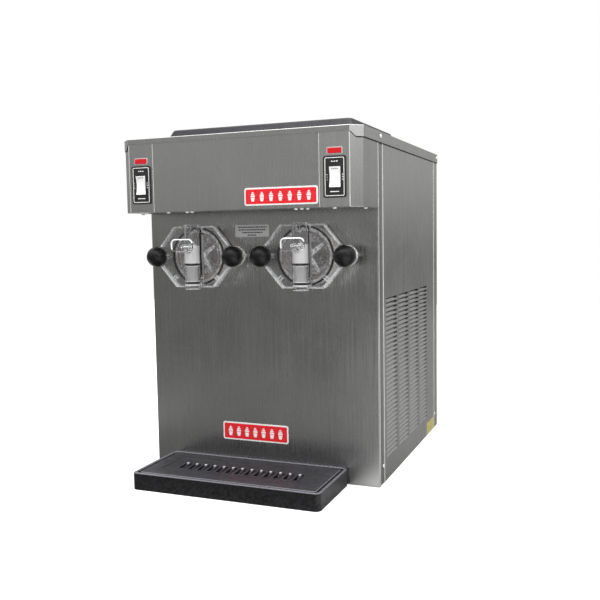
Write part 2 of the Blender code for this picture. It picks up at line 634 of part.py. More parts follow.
# ------------------------------------------------------- refrigeration and power
lathe(
    "compressor",
    [(0, 0.2300), (0.0480, 0.2240), (0.0760, 0.2000), (0.0840, 0.1650), (0.0840, 0.0620), (0.0740, 0.0300), (0.0740, 0.0190), (0.0980, 0.0190), (0.0980, 0.0070), (0, 0.0070)],
    MOTOR,
    (-0.0600, 0.4200, 0),
    steps=18,
)
condenser = box("condenser", (0.2050, 0.0700, 0.0600), (0.2450, 0.3300, 0.3400), ZINC)
cut(condenser, boxes("fin_gaps", [((0.2150, 0.0820 + 0.0205 * i, 0.0660), (0.2600, 0.0920 + 0.0205 * i, 0.3340)) for i in range(12)]))
fan = rod("condenser_fan", (0.1730, 0.2000, 0.2000), 0.0200, 0.0220, "X", MOTOR, 14)
for i in range(5):
    bm = bmesh.new()
    bmesh.ops.create_cube(
        bm,
        size=1,
        matrix=Matrix.Rotation(math.radians(72 * i), 4, "X")
        @ Matrix.Translation((0, 0, 0.0600))
        @ Matrix.Rotation(math.radians(28), 4, "Z")
        @ Matrix.Diagonal((0.0025, 0.0340, 0.0880, 1)),
    )
    mesh = bpy.data.meshes.new(f"fan_blade_{i}")
    bm.to_mesh(mesh)
    bm.free()
    join(fan, place(f"fan_blade_{i}", mesh, None, (0.1830, 0.2000, 0.2000)))
cut(fan, rod("fan_bore", (0.1600, 0.2000, 0.2000), 0.0280, 0.0045, "X", sides=10))
fan_motor = rod("fan_motor", (0.1000, 0.2000, 0.2000), 0.0620, 0.0320, "X", MOTOR, 16)
join(
    fan_motor,
    rod("fan_shaft", (0.1500, 0.2000, 0.2000), 0.0360, 0.0040, "X", sides=10),
    box("fan_leg", (0.1200, 0.1850, 0.0110), (0.1400, 0.2150, 0.1800)),
    box("fan_foot", (0.1050, 0.1700, 0.0070), (0.1550, 0.2300, 0.0120)),
)
control = box("control_box", (-0.2500, 0.0500, 0.0400), (-0.1960, 0.2100, 0.3000), ZINC)
join(control, box("control_lid", (-0.1965, 0.0470, 0.0370), (-0.1900, 0.2130, 0.3030)))

cord = bpy.data.curves.new("cord_line", "CURVE")
cord.dimensions = "3D"
cord.bevel_depth = 0.0042
cord.bevel_resolution = 1
cord.use_fill_caps = True
path = [(CORD_X, 0.5800, CORD_Z), (CORD_X, 0.6000, CORD_Z)]
path += [(CORD_X, 0.6000 + v, CORD_Z - 0.0120 + u) for v, u in arc(0, 0, 0.0120, 60, 0, 3)]
path += [(CORD_X, 0.6120, 0.0200)]
path += [(CORD_X + 0.0135 + u, 0.6120, 0.0200 + v) for u, v in arc(0, 0, 0.0135, 195, 270, 5)]
path += [(0.0600, 0.6120, 0.0065)]
line = cord.splines.new("POLY")
line.points.add(len(path) - 1)
for point, place_at in zip(line.points, path):
    point.co = (*place_at, 1)
cable = meshed("power_cord", cord, RUBBER, (0, 0, 0))
join(cable, box("plug_body", (0.0580, 0.5985, 0.0010), (0.0980, CORD_BACK, 0.0260)))
for k, z in enumerate((0.0070, 0.0190)):
    join(cable, box(f"plug_prong_{k}", (0.0970, 0.6080, z - 0.0008), (0.1150, 0.6140, z + 0.0008)))

for name, x, y in (
    ("foot_front_left", -0.2350, 0.0500),
    ("foot_front_right", 0.2350, 0.0500),
    ("foot_rear_left", -0.2350, 0.5450),
    ("foot_rear_right", 0.2350, 0.5450),
):
    rod(name, (x, y, 0), 0.0041, 0.0180, "Z", RUBBER, 16)
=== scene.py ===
"""Looks for the twin-cylinder countertop soft serve machine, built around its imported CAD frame.

Every piece is modelled in the row frame, in metres. y below is measured from the
front panel's outer face, as in the CAD part, and is moved to the row frame at the end.
"""

import math
import random

import bmesh
import bpy
import numpy as np
from mathutils import Matrix, Vector


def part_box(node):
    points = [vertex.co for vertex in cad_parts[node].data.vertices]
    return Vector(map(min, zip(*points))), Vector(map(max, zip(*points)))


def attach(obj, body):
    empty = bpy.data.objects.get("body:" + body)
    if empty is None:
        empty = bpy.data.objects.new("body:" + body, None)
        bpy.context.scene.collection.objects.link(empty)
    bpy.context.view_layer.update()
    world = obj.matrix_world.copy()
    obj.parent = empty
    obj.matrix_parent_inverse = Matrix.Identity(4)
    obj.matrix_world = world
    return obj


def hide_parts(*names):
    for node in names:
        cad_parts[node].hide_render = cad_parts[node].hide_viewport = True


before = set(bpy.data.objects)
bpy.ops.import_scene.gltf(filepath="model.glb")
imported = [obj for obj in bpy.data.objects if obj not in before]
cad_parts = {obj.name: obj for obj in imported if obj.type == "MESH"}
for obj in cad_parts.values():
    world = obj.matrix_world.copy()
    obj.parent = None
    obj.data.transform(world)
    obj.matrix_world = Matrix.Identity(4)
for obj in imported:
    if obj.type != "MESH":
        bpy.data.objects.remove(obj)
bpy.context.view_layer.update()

# ------------------------------------------------------------ numbers from the frame
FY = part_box("front_panel")[0].y


def span(node):
    """A CAD node's box with y measured from the front panel."""
    low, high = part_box(node)
    low.y -= FY
    high.y -= FY
    return low, high


HALF = span("front_panel")[1].x
BODY_LOW = span("front_panel")[0].z
HEAD_FRONT = span("header_centre_panel")[0].y
HEAD_LOW = span("header_centre_panel")[0].z
HEAD_TOP = span("header_centre_panel")[1].z
SEAM_L, SEAM_R = span("header_centre_panel")[0].x, span("header_centre_panel")[1].x
CHAMFER = (0.0230, 0.0214)
LID_TOP = span("top_cover")[1].z
LID_BACK = span("top_cover")[1].y
LID_OVER = span("top_cover")[1].x - HALF
SHEET = 0.0012
CYL_X = (span("door_gasket_right")[0].x + span("door_gasket_right")[1].x) / 2
CYL_Z = (span("door_gasket_right")[0].z + span("door_gasket_right")[1].z) / 2
STUD_X = 0.0956
SIDES = (("left", -1), ("right", 1))

# ------------------------------------------------------------------- mesh tools
bench = bpy.data.collections.new("workbench")
bpy.context.scene.collection.children.link(bench)


def work(bm, name="work"):
    mesh = bpy.data.meshes.new(name)
    bmesh.ops.recalc_face_normals(bm, faces=bm.faces)
    bm.to_mesh(mesh)
    bm.free()
    obj = bpy.data.objects.new(name, mesh)
    bench.objects.link(obj)
    return obj


def baked(obj):
    """Applies every modifier."""
    graph = bpy.context.evaluated_depsgraph_get()
    mesh = bpy.data.meshes.new_from_object(obj.evaluated_get(graph), preserve_all_data_layers=True, depsgraph=graph)
    obj.modifiers.clear()
    obj.data = mesh
    return obj


def combine(obj, how, others):
    for other in others:
        step = obj.modifiers.new("b", "BOOLEAN")
        step.operation = how
        step.solver = "EXACT"
        step.object = other
    baked(obj)
    for other in others:
        bpy.data.objects.remove(other, do_unlink=True)
    return obj


def minus(obj, *others):
    return combine(obj, "DIFFERENCE", others)


def plus(obj, *others):
    return combine(obj, "UNION", others)


def gather(obj, *others):
    """Puts separate closed shells into one object."""
    bm = bmesh.new()
    bm.from_mesh(obj.data)
    for other in others:
        bm.from_mesh(other.data)
        bpy.data.objects.remove(other, do_unlink=True)
    bm.to_mesh(obj.data)
    bm.free()
    return obj


def bevel(obj, width, segments=2, angle=35):
    step = obj.modifiers.new("v", "BEVEL")
    step.width = width
    step.segments = segments
    step.limit_method = "ANGLE"
    step.angle_limit = math.radians(angle)
    step.use_clamp_overlap = True
    step.miter_outer = "MITER_ARC"
    return baked(obj)


def shade(obj, sharp=50):
    obj.data.shade_smooth()
    obj.data.set_sharp_from_angle(angle=math.radians(sharp))
    step = obj.modifiers.new("n", "WEIGHTED_NORMAL")
    step.keep_sharp = True
    step.weight = 50
    return baked(obj)


def arc(cx, cy, r, start, end, steps):
    return [
        (cx + r * math.cos(math.radians(start + (end - start) * i / steps)), cy + r * math.sin(math.radians(start + (end - start) * i / steps)))
        for i in range(steps + 1)
    ]


def rounded(x0, y0, x1, y1, r, steps=6):
    return arc(x1 - r, y0 + r, r, -90, 0, steps) + arc(x1 - r, y1 - r, r, 0, 90, steps) + arc(x0 + r, y1 - r, r, 90, 180, steps) + arc(x0 + r, y0 + r, r, 180, 270, steps)


def fillet(points, radius, closed=False, steps=5):
    """Rounds the corners of a polyline. radius is one number or one per corner."""
    count = len(points)
    made = []
    for i, here in enumerate(points):
        r = radius[i] if isinstance(radius, (list, tuple)) else radius
        if (not closed and i in (0, count - 1)) or r <= 0:
            made.append(tuple(here))
            continue
        here = Vector(here)
        a = Vector(points[i - 1]) - here
        b = Vector(points[(i + 1) % count]) - here
        half = a.angle(b) / 2
        reach = min(r / math.tan(half), a.length * 0.49, b.length * 0.49)
        r = reach * math.tan(half)
        a.normalize()
        b.normalize()
        centre = here + (a + b).normalized() * (r / math.sin(half))
        p, q = here + a * reach - centre, here + b * reach - centre
        turn = math.atan2(p.x * q.y - p.y * q.x, p.dot(q))
        for k in range(steps + 1):
            t = turn * k / steps
            c, s = math.cos(t), math.sin(t)
            made.append((centre.x + p.x * c - p.y * s, centre.y + p.x * s + p.y * c))
    return made


def offset(points, d):
    """Moves an open polyline sideways, to the left of its direction, by d."""
    made = []
    for i, here in enumerate(points):
        here = Vector(here)
        normals = []
        if i:
            e = (here - Vector(points[i - 1])).normalized()
            normals.append(Vector((-e.y, e.x)))
        if i < len(points) - 1:
            e = (Vector(points[i + 1]) - here).normalized()
            normals.append(Vector((-e.y, e.x)))
        n = sum(normals, Vector((0, 0)))
        n.normalize()
        k = d / max(n.dot(normals[0]), 0.3)
        made.append(tuple(here + n * k))
    return made


def folded(path, thickness, radius):
    """Closed outline of a folded sheet whose outer face follows the path, thickness to its left."""
    outer = fillet(path, radius)
    return outer + offset(outer, thickness)[::-1]


AXES = {
    "z": Matrix.Identity(3),
    "x": Matrix(((0, 0, 1), (1, 0, 0), (0, 1, 0))),
    "-y": Matrix(((1, 0, 0), (0, 0, -1), (0, 1, 0))),
}


def prism(outline, low, high, axis="z", at=(0, 0, 0), name="prism"):
    """A flat outline given depth along z, along x (outline is y, z) or out of the panel along -y (outline is x, z)."""
    bm = bmesh.new()
    turn = AXES[axis]
    at = Vector(at)
    rings = []
    for h in (low, high):
        rings.append([bm.verts.new(turn @ Vector((u, v, h)) + at) for u, v in outline])
    bm.faces.new(rings[0][::-1])
    bm.faces.new(rings[1])
    count = len(outline)
    for i in range(count):
        j = (i + 1) % count
        bm.faces.new((rings[0][i], rings[0][j], rings[1][j], rings[1][i]))
    return work(bm, name)


def block(low, high, name="block"):
    bm = bmesh.new()
    low, high = Vector(low), Vector(high)
    size = high - low
    bmesh.ops.create_cube(bm, size=1, matrix=Matrix.Translation((low + high) / 2) @ Matrix.Diagonal((*size, 1)))
    return work(bm, name)


def turned(profile, steps=64, axis="z", at=(0, 0, 0), closed=False, name="turned"):
    """A lathe shape from (radius, height) pairs. Points at radius 0 become single points."""
    bm = bmesh.new()
    turn = AXES[axis]
    at = Vector(at)
    rings = []
    for r, h in profile:
        if r < 1e-7:
            rings.append([bm.verts.new(turn @ Vector((0, 0, h)) + at)])
        else:
            rings.append(
                [bm.verts.new(turn @ Vector((r * math.cos(2 * math.pi * i / steps), r * math.sin(2 * math.pi * i / steps), h)) + at) for i in range(steps)]
            )
    pairs = list(zip(rings, rings[1:]))
    if closed:
        pairs.append((rings[-1], rings[0]))
    for a, b in pairs:
        for i in range(steps):
            j = (i + 1) % steps
            if len(a) == 1 and len(b) == 1:
                break
            if len(a) == 1:
                bm.faces.new((a[0], b[i], b[j]))
            elif len(b) == 1:
                bm.faces.new((a[i], a[j], b[0]))
            else:
                bm.faces.new((a[i], a[j], b[j], b[i]))
    if not closed:
        for ring in (rings[0], rings[-1]):
            if len(ring) > 1:
                bm.faces.new(ring)
    return work(bm, name)


def rod(r, low, high, axis="z", at=(0, 0, 0), steps=48, name="rod", edge=0.0):
    if edge:
        profile = [(0, low), (r - edge, low), (r, low + edge), (r, high - edge), (r - edge, high), (0, high)]
    else:
        profile = [(0, low), (r, low), (r, high), (0, high)]
    return turned(profile, steps, axis, at, name=name)


def soften_rings(profile, radius, steps=4):
    """Rounds the corners of a lathe profile, keeping its ends."""
    return fillet(profile, radius, steps=steps)


def moved(obj, by):
    obj.data.transform(Matrix.Translation(by))
    return obj


def mirrored(obj):
    obj.data.transform(Matrix.Diagonal((-1, 1, 1, 1)))
    obj.data.flip_normals()
    return obj


def copy(obj, by=(0, 0, 0)):
    made = bpy.data.objects.new(obj.name, obj.data.copy())
    made.data.transform(Matrix.Translation(by))
    bench.objects.link(made)
    return made


def piece(obj, name, material, body, nodes=()):
    """Finishes a piece: its name, material, place in the row frame and the body it rides on."""
    obj.name = name
    obj.data.name = name
    marked = [face.material_index for face in obj.data.polygons]
    obj.data.materials.clear()
    for m in material if isinstance(material, (list, tuple)) else [material]:
        obj.data.materials.append(m)
    if isinstance(material, (list, tuple)):
        obj.data.polygons.foreach_set("material_index", marked)
    obj.data.transform(Matrix.Translation((0, FY, 0)))
    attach(obj, body)
    if nodes:
        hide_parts(*nodes)
    bench.objects.unlink(obj)
    bpy.context.scene.collection.objects.link(obj)
    return obj


# --------------------------------------------------------------------- materials
class Look:
    """A Principled material and short ways to wire nodes to it."""

    def __init__(self, name, colour=(0.5, 0.5, 0.5), rough=0.5, metal=0.0, **inputs):
        self.material = bpy.data.materials.new(name)
        self.material.use_nodes = True
        self.tree = self.material.node_tree
        self.shader = self.tree.nodes["Principled BSDF"]
        self.out = self.tree.nodes["Material Output"]
        self.shader.inputs["Base Color"].default_value = (*colour, 1)
        self.shader.inputs["Roughness"].default_value = rough
        self.shader.inputs["Metallic"].default_value = metal
        for key, value in inputs.items():
            self.shader.inputs[key.replace("_", " ")].default_value = value
        self.material.diffuse_color = (*colour, 1)
        self.coords = self.node("ShaderNodeTexCoord").outputs["Object"]

    def node(self, kind, **values):
        made = self.tree.nodes.new(kind)
        for key, value in values.items():
            if hasattr(made, key):
                setattr(made, key, value)
            else:
                self.put(value, made.inputs[key])
        return made

    def put(self, value, socket):
        if isinstance(value, bpy.types.NodeSocket):
            self.tree.links.new(value, socket)
        else:
            socket.default_value = value

    def stretched(self, scale, turn=(0, 0, 0)):
        made = self.node("ShaderNodeMapping")
        self.put(self.coords, made.inputs["Vector"])
        made.inputs["Scale"].default_value = scale
        made.inputs["Rotation"].default_value = turn
        return made.outputs["Vector"]

    def noise(self, scale, detail=3.0, rough=0.5, stretch=None, distortion=0.0):
        made = self.node("ShaderNodeTexNoise")
        made.inputs["Scale"].default_value = scale
        made.inputs["Detail"].default_value = detail
        made.inputs["Roughness"].default_value = rough
        made.inputs["Distortion"].default_value = distortion
        self.put(self.stretched(stretch) if stretch else self.coords, made.inputs["Vector"])
        return made.outputs["Fac"]

    def cells(self, scale, feature="F1", output="Distance", randomness=1.0):
        made = self.node("ShaderNodeTexVoronoi")
        made.feature = feature
        made.inputs["Scale"].default_value = scale
        made.inputs["Randomness"].default_value = randomness
        self.put(self.coords, made.inputs["Vector"])
        return made.outputs[output]

    def math(self, how, a, b=0.0, clamp=False):
        made = self.node("ShaderNodeMath")
        made.operation = how
        made.use_clamp = clamp
        self.put(a, made.inputs[0])
        self.put(b, made.inputs[1])
        return made.outputs[0]

    def between(self, value, a, b, c=0.0, d=1.0):
        made = self.node("ShaderNodeMapRange")
        self.put(value, made.inputs["Value"])
        for key, number in (("From Min", a), ("From Max", b), ("To Min", c), ("To Max", d)):
            made.inputs[key].default_value = number
        return made.outputs[0]

    def mix(self, share, a, b, how="MIX"):
        made = self.node("ShaderNodeMix")
        made.data_type = "RGBA"
        made.blend_type = how
        self.put(share, made.inputs[0])
        for value, socket in ((a, made.inputs[6]), (b, made.inputs[7])):
            self.put((*value, 1) if isinstance(value, tuple) and len(value) == 3 else value, socket)
        return made.outputs[2]

    def bump(self, height, distance, strength=1.0, after=None):
        made = self.node("ShaderNodeBump")
        made.inputs["Strength"].default_value = strength
        made.inputs["Distance"].default_value = distance
        self.put(height, made.inputs["Height"])
        if after is not None:
            self.put(after, made.inputs["Normal"])
        return made.outputs["Normal"]

    def set(self, **sockets):
        for key, value in sockets.items():
            self.put(value, self.shader.inputs[key.replace("_", " ")])
        return self.material


def brushed(name, tone, rough=0.24, spread=0.07, grain=1.0, along="z", aniso=0.7, tint=(1.0, 1.0, 0.985), smudge=1.0):
    """Brushed stainless sheet. along is the direction of the brush lines."""
    look = Look(name, tuple(tone * t for t in tint), rough, 1.0)
    stretch = {"z": (1, 1, 0.012), "y": (1, 0.012, 1), "x": (0.012, 1, 1)}[along]
    fine = look.noise(1500, 3, 0.65, stretch)
    lines = look.noise(420, 4, 0.6, stretch)
    bands = look.noise(38, 3, 0.55, {"z": (1, 1, 0.1), "y": (1, 0.1, 1), "x": (0.1, 1, 1)}[along])
    wipes = look.noise(6.5, 4, 0.6, distortion=0.6)
    marks = look.between(look.noise(85, 4, 0.75, {"z": (1, 1, 0.25), "y": (1, 0.25, 1), "x": (0.25, 1, 1)}[along]), 0.66, 0.74)
    fleck = look.math("MULTIPLY", look.between(fine, 0.3, 0.7, -1, 1), 0.05 * grain)
    streak = look.math("MULTIPLY", look.between(lines, 0.3, 0.7, -1, 1), 0.045 * grain)
    band = look.math("MULTIPLY", look.between(bands, 0.3, 0.7, -1, 1), 0.03 * grain)
    wipe = look.math("MULTIPLY", look.between(wipes, 0.3, 0.7, -1, 1), 0.03 * smudge)
    level = look.math("ADD", look.math("ADD", fleck, streak), look.math("ADD", band, look.math("ADD", wipe, 1.0)))
    colour = look.node("ShaderNodeVectorMath")
    colour.operation = "SCALE"
    colour.inputs[0].default_value = tuple(tone * t for t in tint)
    look.put(level, colour.inputs["Scale"])
    r = look.math("ADD", look.between(lines, 0.25, 0.75, rough - spread, rough + spread), look.math("MULTIPLY", look.between(wipes, 0.35, 0.7), 0.05 * smudge))
    r = look.math("ADD", r, look.math("MULTIPLY", marks, 0.05 * smudge))
    normal = look.bump(fine, 0.00002, 0.35 * grain)
    normal = look.bump(lines, 0.00004, 0.30 * grain, normal)
    face = look.node("ShaderNodeNewGeometry").outputs["Normal"]
    across = look.node("ShaderNodeVectorMath")
    across.operation = "CROSS_PRODUCT"
    look.put(face, across.inputs[0])
    across.inputs[1].default_value = {"z": (0, 0.2, 1), "y": (0.1, 1, 0.2), "x": (1, 0.1, 0.2)}[along]
    return look.set(Base_Color=colour.outputs[0], Roughness=r, Normal=normal, Anisotropic=aniso, Tangent=across.outputs[0])


def plain_metal(name, colour, rough, grain=0.5, scale=900):
    look = Look(name, colour, rough, 1.0)
    n = look.noise(scale, 3, 0.6)
    w = look.noise(40, 4, 0.6)
    tone = look.mix(w, tuple(c * 0.86 for c in colour), tuple(min(1.0, c * 1.1) for c in colour))
    r = look.between(w, 0.3, 0.7, rough * 0.8, rough * 1.3)
    return look.set(Base_Color=tone, Roughness=r, Normal=look.bump(n, 0.00003, grain))


def zinc(name="zinc_plated_steel"):
    look = Look(name, (0.55, 0.57, 0.60), 0.4, 1.0)
    cell = look.cells(120, output="Color")
    grey = look.node("ShaderNodeRGBToBW")
    look.put(cell, grey.inputs[0])
    tone = look.mix(grey.outputs[0], (0.42, 0.44, 0.46), (0.66, 0.68, 0.70))
    r = look.between(grey.outputs[0], 0, 1, 0.28, 0.52)
    return look.set(Base_Color=tone, Roughness=r, Normal=look.bump(look.noise(300, 3), 0.00005, 0.4))


def plastic(name, colour, rough, grain=0.00008, scale=1400, edge=None, dust=0.0, sheen=0.0, coat=0.0, ior=1.49):
    """Moulded plastic with a fine spark-eroded grain, faint swirl and, when edge is given, a lighter colour on pointy
    edges as painted highlight.
    """
    look = Look(name, colour, rough, 0.0, IOR=ior)
    fine = look.noise(scale, 2, 0.5)
    wide = look.noise(30, 4, 0.6, distortion=0.4)
    tone = look.mix(wide, tuple(c * 0.85 for c in colour), tuple(min(1.0, c * 1.18) for c in colour))
    if edge:
        # painted highlight: the edge colour on pointy, convex edges
        edge_highlight_mask = look.between(look.node("ShaderNodeNewGeometry").outputs["Pointiness"], 0.52, 0.62)
        tone = look.mix(look.math("MULTIPLY", edge_highlight_mask, look.between(look.noise(160, 3), 0.35, 0.6)), tone, edge)
    if dust:
        up = look.node("ShaderNodeSeparateXYZ")
        look.put(look.node("ShaderNodeNewGeometry").outputs["Normal"], up.inputs[0])
        fall = look.math("MULTIPLY", look.between(up.outputs["Z"], 0.4, 1.0), look.between(look.noise(70, 5, 0.7), 0.35, 0.8))
        tone = look.mix(look.math("MULTIPLY", fall, dust), tone, (0.30, 0.29, 0.28))
    r = look.between(look.noise(55, 3), 0.3, 0.7, rough * 0.86, rough * 1.16)
    if coat:
        look.shader.inputs["Coat Weight"].default_value = coat
        look.shader.inputs["Coat Roughness"].default_value = 0.1
    if sheen:
        look.shader.inputs["Sheen Weight"].default_value = sheen
    return look.set(Base_Color=tone, Roughness=r, Normal=look.bump(fine, grain, 0.6))


def hazed_self_lit(name, colour, rough=0.42, metal=0.45):
    """Metal inside the freezing cylinder, hazed by product and wear, with a painted glow: a faint emission standing in
    for light reaching inside.
    """
    look = Look(name, colour, rough, metal)
    cloud = look.noise(150, 4, 0.7, distortion=1.0)
    spots = look.noise(520, 3, 0.65)
    tone = look.mix(look.between(cloud, 0.35, 0.65), tuple(c * 0.35 for c in colour), tuple(min(1.0, c * 1.35) for c in colour))
    tone = look.mix(look.between(spots, 0.58, 0.66, 0, 0.6), tone, (0.92, 0.90, 0.90))
    r = look.between(cloud, 0.3, 0.7, rough * 0.5, rough * 1.3)
    look.set(Base_Color=tone, Emission_Color=tone, Roughness=r, Normal=look.bump(cloud, 0.0012, 0.8))
    look.shader.inputs["Emission Strength"].default_value = 0.085  # painted glow, not a lamp: stands in for light reaching round the cylinder
    return look.set()


def rubber(name, colour=(0.018, 0.018, 0.019), rough=0.62):
    look = Look(name, colour, rough)
    tone = look.mix(look.noise(60, 4), tuple(c * 0.7 for c in colour), tuple(c * 1.6 for c in colour))
    return look.set(Base_Color=tone, Roughness=look.between(look.noise(220, 3), 0.3, 0.7, rough - 0.08, rough + 0.1), Normal=look.bump(look.noise(1800, 2), 0.00006, 0.5))


def clear(name, colour=(0.97, 0.975, 0.98), rough=0.015, ior=1.49, cloud=0.05):
    """Clear moulded plastic. Shadows and diffuse light pass through it, so the parts behind stay lit."""
    look = Look(name, colour, rough, 0.0, IOR=ior)
    look.shader.inputs["Transmission Weight"].default_value = 1.0
    flow = look.noise(26, 2, 0.5, distortion=1.2)
    scuff = look.between(look.noise(420, 4, 0.7, (1, 1, 0.2)), 0.62, 0.78)
    r = look.math("ADD", look.math("MULTIPLY", scuff, 0.09), look.between(flow, 0.3, 0.7, rough, rough + 0.02))
    normal = look.bump(flow, 0.0006, cloud)
    tint = look.mix(look.noise(18, 2), colour, tuple(c * 0.965 for c in colour))
    look.set(Base_Color=tint, Roughness=r, Normal=normal)
    path = look.node("ShaderNodeLightPath")
    passes = look.math("MAXIMUM", path.outputs["Is Shadow Ray"], path.outputs["Is Diffuse Ray"])
    through = look.node("ShaderNodeBsdfTransparent")
    through.inputs["Color"].default_value = (0.93, 0.935, 0.94, 1)
    blend = look.node("ShaderNodeMixShader")
    look.put(passes, blend.inputs[0])
    look.put(look.shader.outputs[0], blend.inputs[1])
    look.put(through.outputs[0], blend.inputs[2])
    look.put(blend.outputs[0], look.out.inputs["Surface"])
    return look.material


def rim(name, amount, rough=0.12):
    """Painted highlight for the edges of a clear moulding: a white, faintly glowing finish standing in for the light
    they gather.
    """
    look = Look(name, (0.95, 0.955, 0.96), rough, 0.0, IOR=1.49)
    look.shader.inputs["Transmission Weight"].default_value = 1.0
    patch = look.between(look.noise(140, 3, 0.6, (1, 1, 1)), 0.35, 0.65, amount * 0.55, min(1.0, amount * 1.35))
    look.set(Roughness=look.between(look.noise(60, 2), 0.3, 0.7, rough * 0.5, rough * 1.5), Normal=look.bump(look.noise(90, 2), 0.0004, 0.2))
    # white diffuse plus a faint emission in patches: the painted highlight
    white = look.node("ShaderNodeBsdfDiffuse")
    white.inputs["Color"].default_value = (0.93, 0.935, 0.94, 1)
    gloss = look.node("ShaderNodeEmission")
    gloss.inputs["Color"].default_value = (0.96, 0.97, 1.0, 1)
    gloss.inputs["Strength"].default_value = 0.35 * amount
    glow = look.node("ShaderNodeAddShader")
    look.put(white.outputs[0], glow.inputs[0])
    look.put(gloss.outputs[0], glow.inputs[1])
    edge = look.node("ShaderNodeMixShader")
    look.put(patch, edge.inputs[0])
    look.put(look.shader.outputs[0], edge.inputs[1])
    look.put(glow.outputs[0], edge.inputs[2])
    path = look.node("ShaderNodeLightPath")
    passes = look.math("MAXIMUM", path.outputs["Is Shadow Ray"], path.outputs["Is Diffuse Ray"])
    through = look.node("ShaderNodeBsdfTransparent")
    through.inputs["Color"].default_value = (0.93, 0.935, 0.94, 1)
    blend = look.node("ShaderNodeMixShader")
    look.put(passes, blend.inputs[0])
    look.put(edge.outputs[0], blend.inputs[1])
    look.put(through.outputs[0], blend.inputs[2])
    look.put(blend.outputs[0], look.out.inputs["Surface"])
    return look.material


def lens(name, colour):
    """Red lamp lens: a glossy skin over a ribbed, faintly lit body."""
    look = Look(name, colour, 0.12, 0.0, IOR=1.5)
    look.shader.inputs["Coat Weight"].default_value = 0.4
    rib = look.node("ShaderNodeTexWave")
    rib.wave_type = "BANDS"
    rib.bands_direction = "X"
    rib.inputs["Scale"].default_value = 160
    look.put(look.coords, rib.inputs["Vector"])
    tone = look.mix(rib.outputs["Fac"], tuple(c * 0.72 for c in colour), tuple(min(1.0, c * 1.15) for c in colour))
    look.put(tone, look.shader.inputs["Emission Color"])
    look.shader.inputs["Emission Strength"].default_value = 0.22
    return look.set(Base_Color=tone, Normal=look.bump(rib.outputs["Fac"], 0.0002, 0.4))


def printed(name, colour, rough=0.32, wear=0.05):
    """Printed film or enamel: even colour with a slight orange peel and rubbed patches."""
    look = Look(name, colour, rough, 0.0)
    look.shader.inputs["Coat Weight"].default_value = 0.25
    tone = look.mix(look.math("MULTIPLY", look.between(look.noise(90, 4), 0.4, 0.8), wear), colour, tuple(c * 0.6 + 0.2 for c in colour))
    r = look.between(look.noise(140, 3), 0.3, 0.7, rough - 0.06, rough + 0.08)
    return look.set(Base_Color=tone, Roughness=r, Normal=look.bump(look.noise(500, 2), 0.00004, 0.3))


# a darker copy of the steel for the front panel: painted shade from the header above
FRONT_SHADED = brushed("front_brushed_steel_painted_shade", 0.45, 0.25, grain=0.25)
HEAD = brushed("header_brushed_steel", 0.56, 0.27, grain=0.36)
# a lighter copy of the header steel: painted highlight for the right corner's front face
HEAD_LIT = brushed("header_corner_painted_highlight_steel", 0.66, 0.27, grain=0.36)
HEAD_TURN = brushed("header_chamfer_steel", 0.54, 0.27, grain=0.36)
SIDE = brushed("side_brushed_steel", 0.63, 0.26, grain=0.28)
LOUVER = brushed("louver_steel", 0.41, 0.30, grain=0.4, aniso=0.3)
STRIP = brushed("strip_steel", 0.42, 0.30, grain=0.4, tint=(1.0, 1.0, 1.0))
LID = brushed("lid_brushed_steel", 0.55, 0.28, along="y", grain=0.6)
# light diffuse finish for edge beads: painted highlight lines
EDGE_HIGHLIGHT = plastic("edge_painted_highlight", (0.54, 0.54, 0.53), 0.24, grain=0.00002, scale=900, coat=0.6)
INNER = brushed("inner_steel", 0.68, 0.22, along="y")
POLISH = plain_metal("polished_steel", (0.82, 0.82, 0.81), 0.16, 0.3)
# zinc screw heads drawn as light diffuse plastic: painted highlight in place of their metal reflections
SCREW_LIT = plastic("screw_painted_highlight", (0.86, 0.86, 0.85), 0.24, grain=0.00002, scale=900, coat=0.6)
ZINC = zinc()
TRAY = plastic("tray_black_plastic", (0.0075, 0.0075, 0.0075), 0.36, grain=0.00010, scale=900, edge=(0.06, 0.06, 0.07), dust=0.05)
GRID = plastic("grid_black_plastic", (0.013, 0.012, 0.017), 0.44, grain=0.00022, scale=420, edge=(0.10, 0.10, 0.12), dust=0.08)
COVER = plastic("cover_black_plastic", (0.016, 0.0145, 0.020), 0.40, grain=0.00012, scale=700, edge=(0.05, 0.05, 0.06))
# a lighter copy of the tray plastic: painted highlight on the tray's rim and the grid's rounded edges
TRAY_RIM_HIGHLIGHT = plastic("tray_rim_painted_highlight", (0.105, 0.103, 0.125), 0.26, grain=0.00006, scale=700, coat=0.5)
# light material for the slot-end pips: painted glints
PIP_GLINT = plastic("painted_glint_pips", (0.40, 0.40, 0.44), 0.12, grain=0.00002, scale=900, coat=0.9)
KNOB = plastic("knob_black_plastic", (0.006, 0.006, 0.0065), 0.34, grain=0.00005, scale=800)
PLATE = printed("switch_plate_black", (0.012, 0.012, 0.013), 0.34, 0.06)
WHITE_INK = printed("white_ink", (0.80, 0.80, 0.79), 0.4, 0.12)
DARK_INK = printed("dark_ink", (0.03, 0.03, 0.035), 0.45, 0.1)
RED_INK = printed("badge_red", (0.70, 0.012, 0.022), 0.28, 0.05)
SILVER_INK = printed("label_silver", (0.73, 0.73, 0.73), 0.36, 0.10)
BEZEL = printed("bezel_grey", (0.50, 0.50, 0.51), 0.3, 0.1)
YELLOW_INK = printed("sticker_yellow", (0.62, 0.56, 0.16), 0.5, 0.35)
ROCKER = plastic("rocker_white_plastic", (0.86, 0.86, 0.85), 0.26, grain=0.00003, scale=900)
WHITE = plastic("white_acetal", (0.62, 0.61, 0.615), 0.34, grain=0.00005, scale=700)
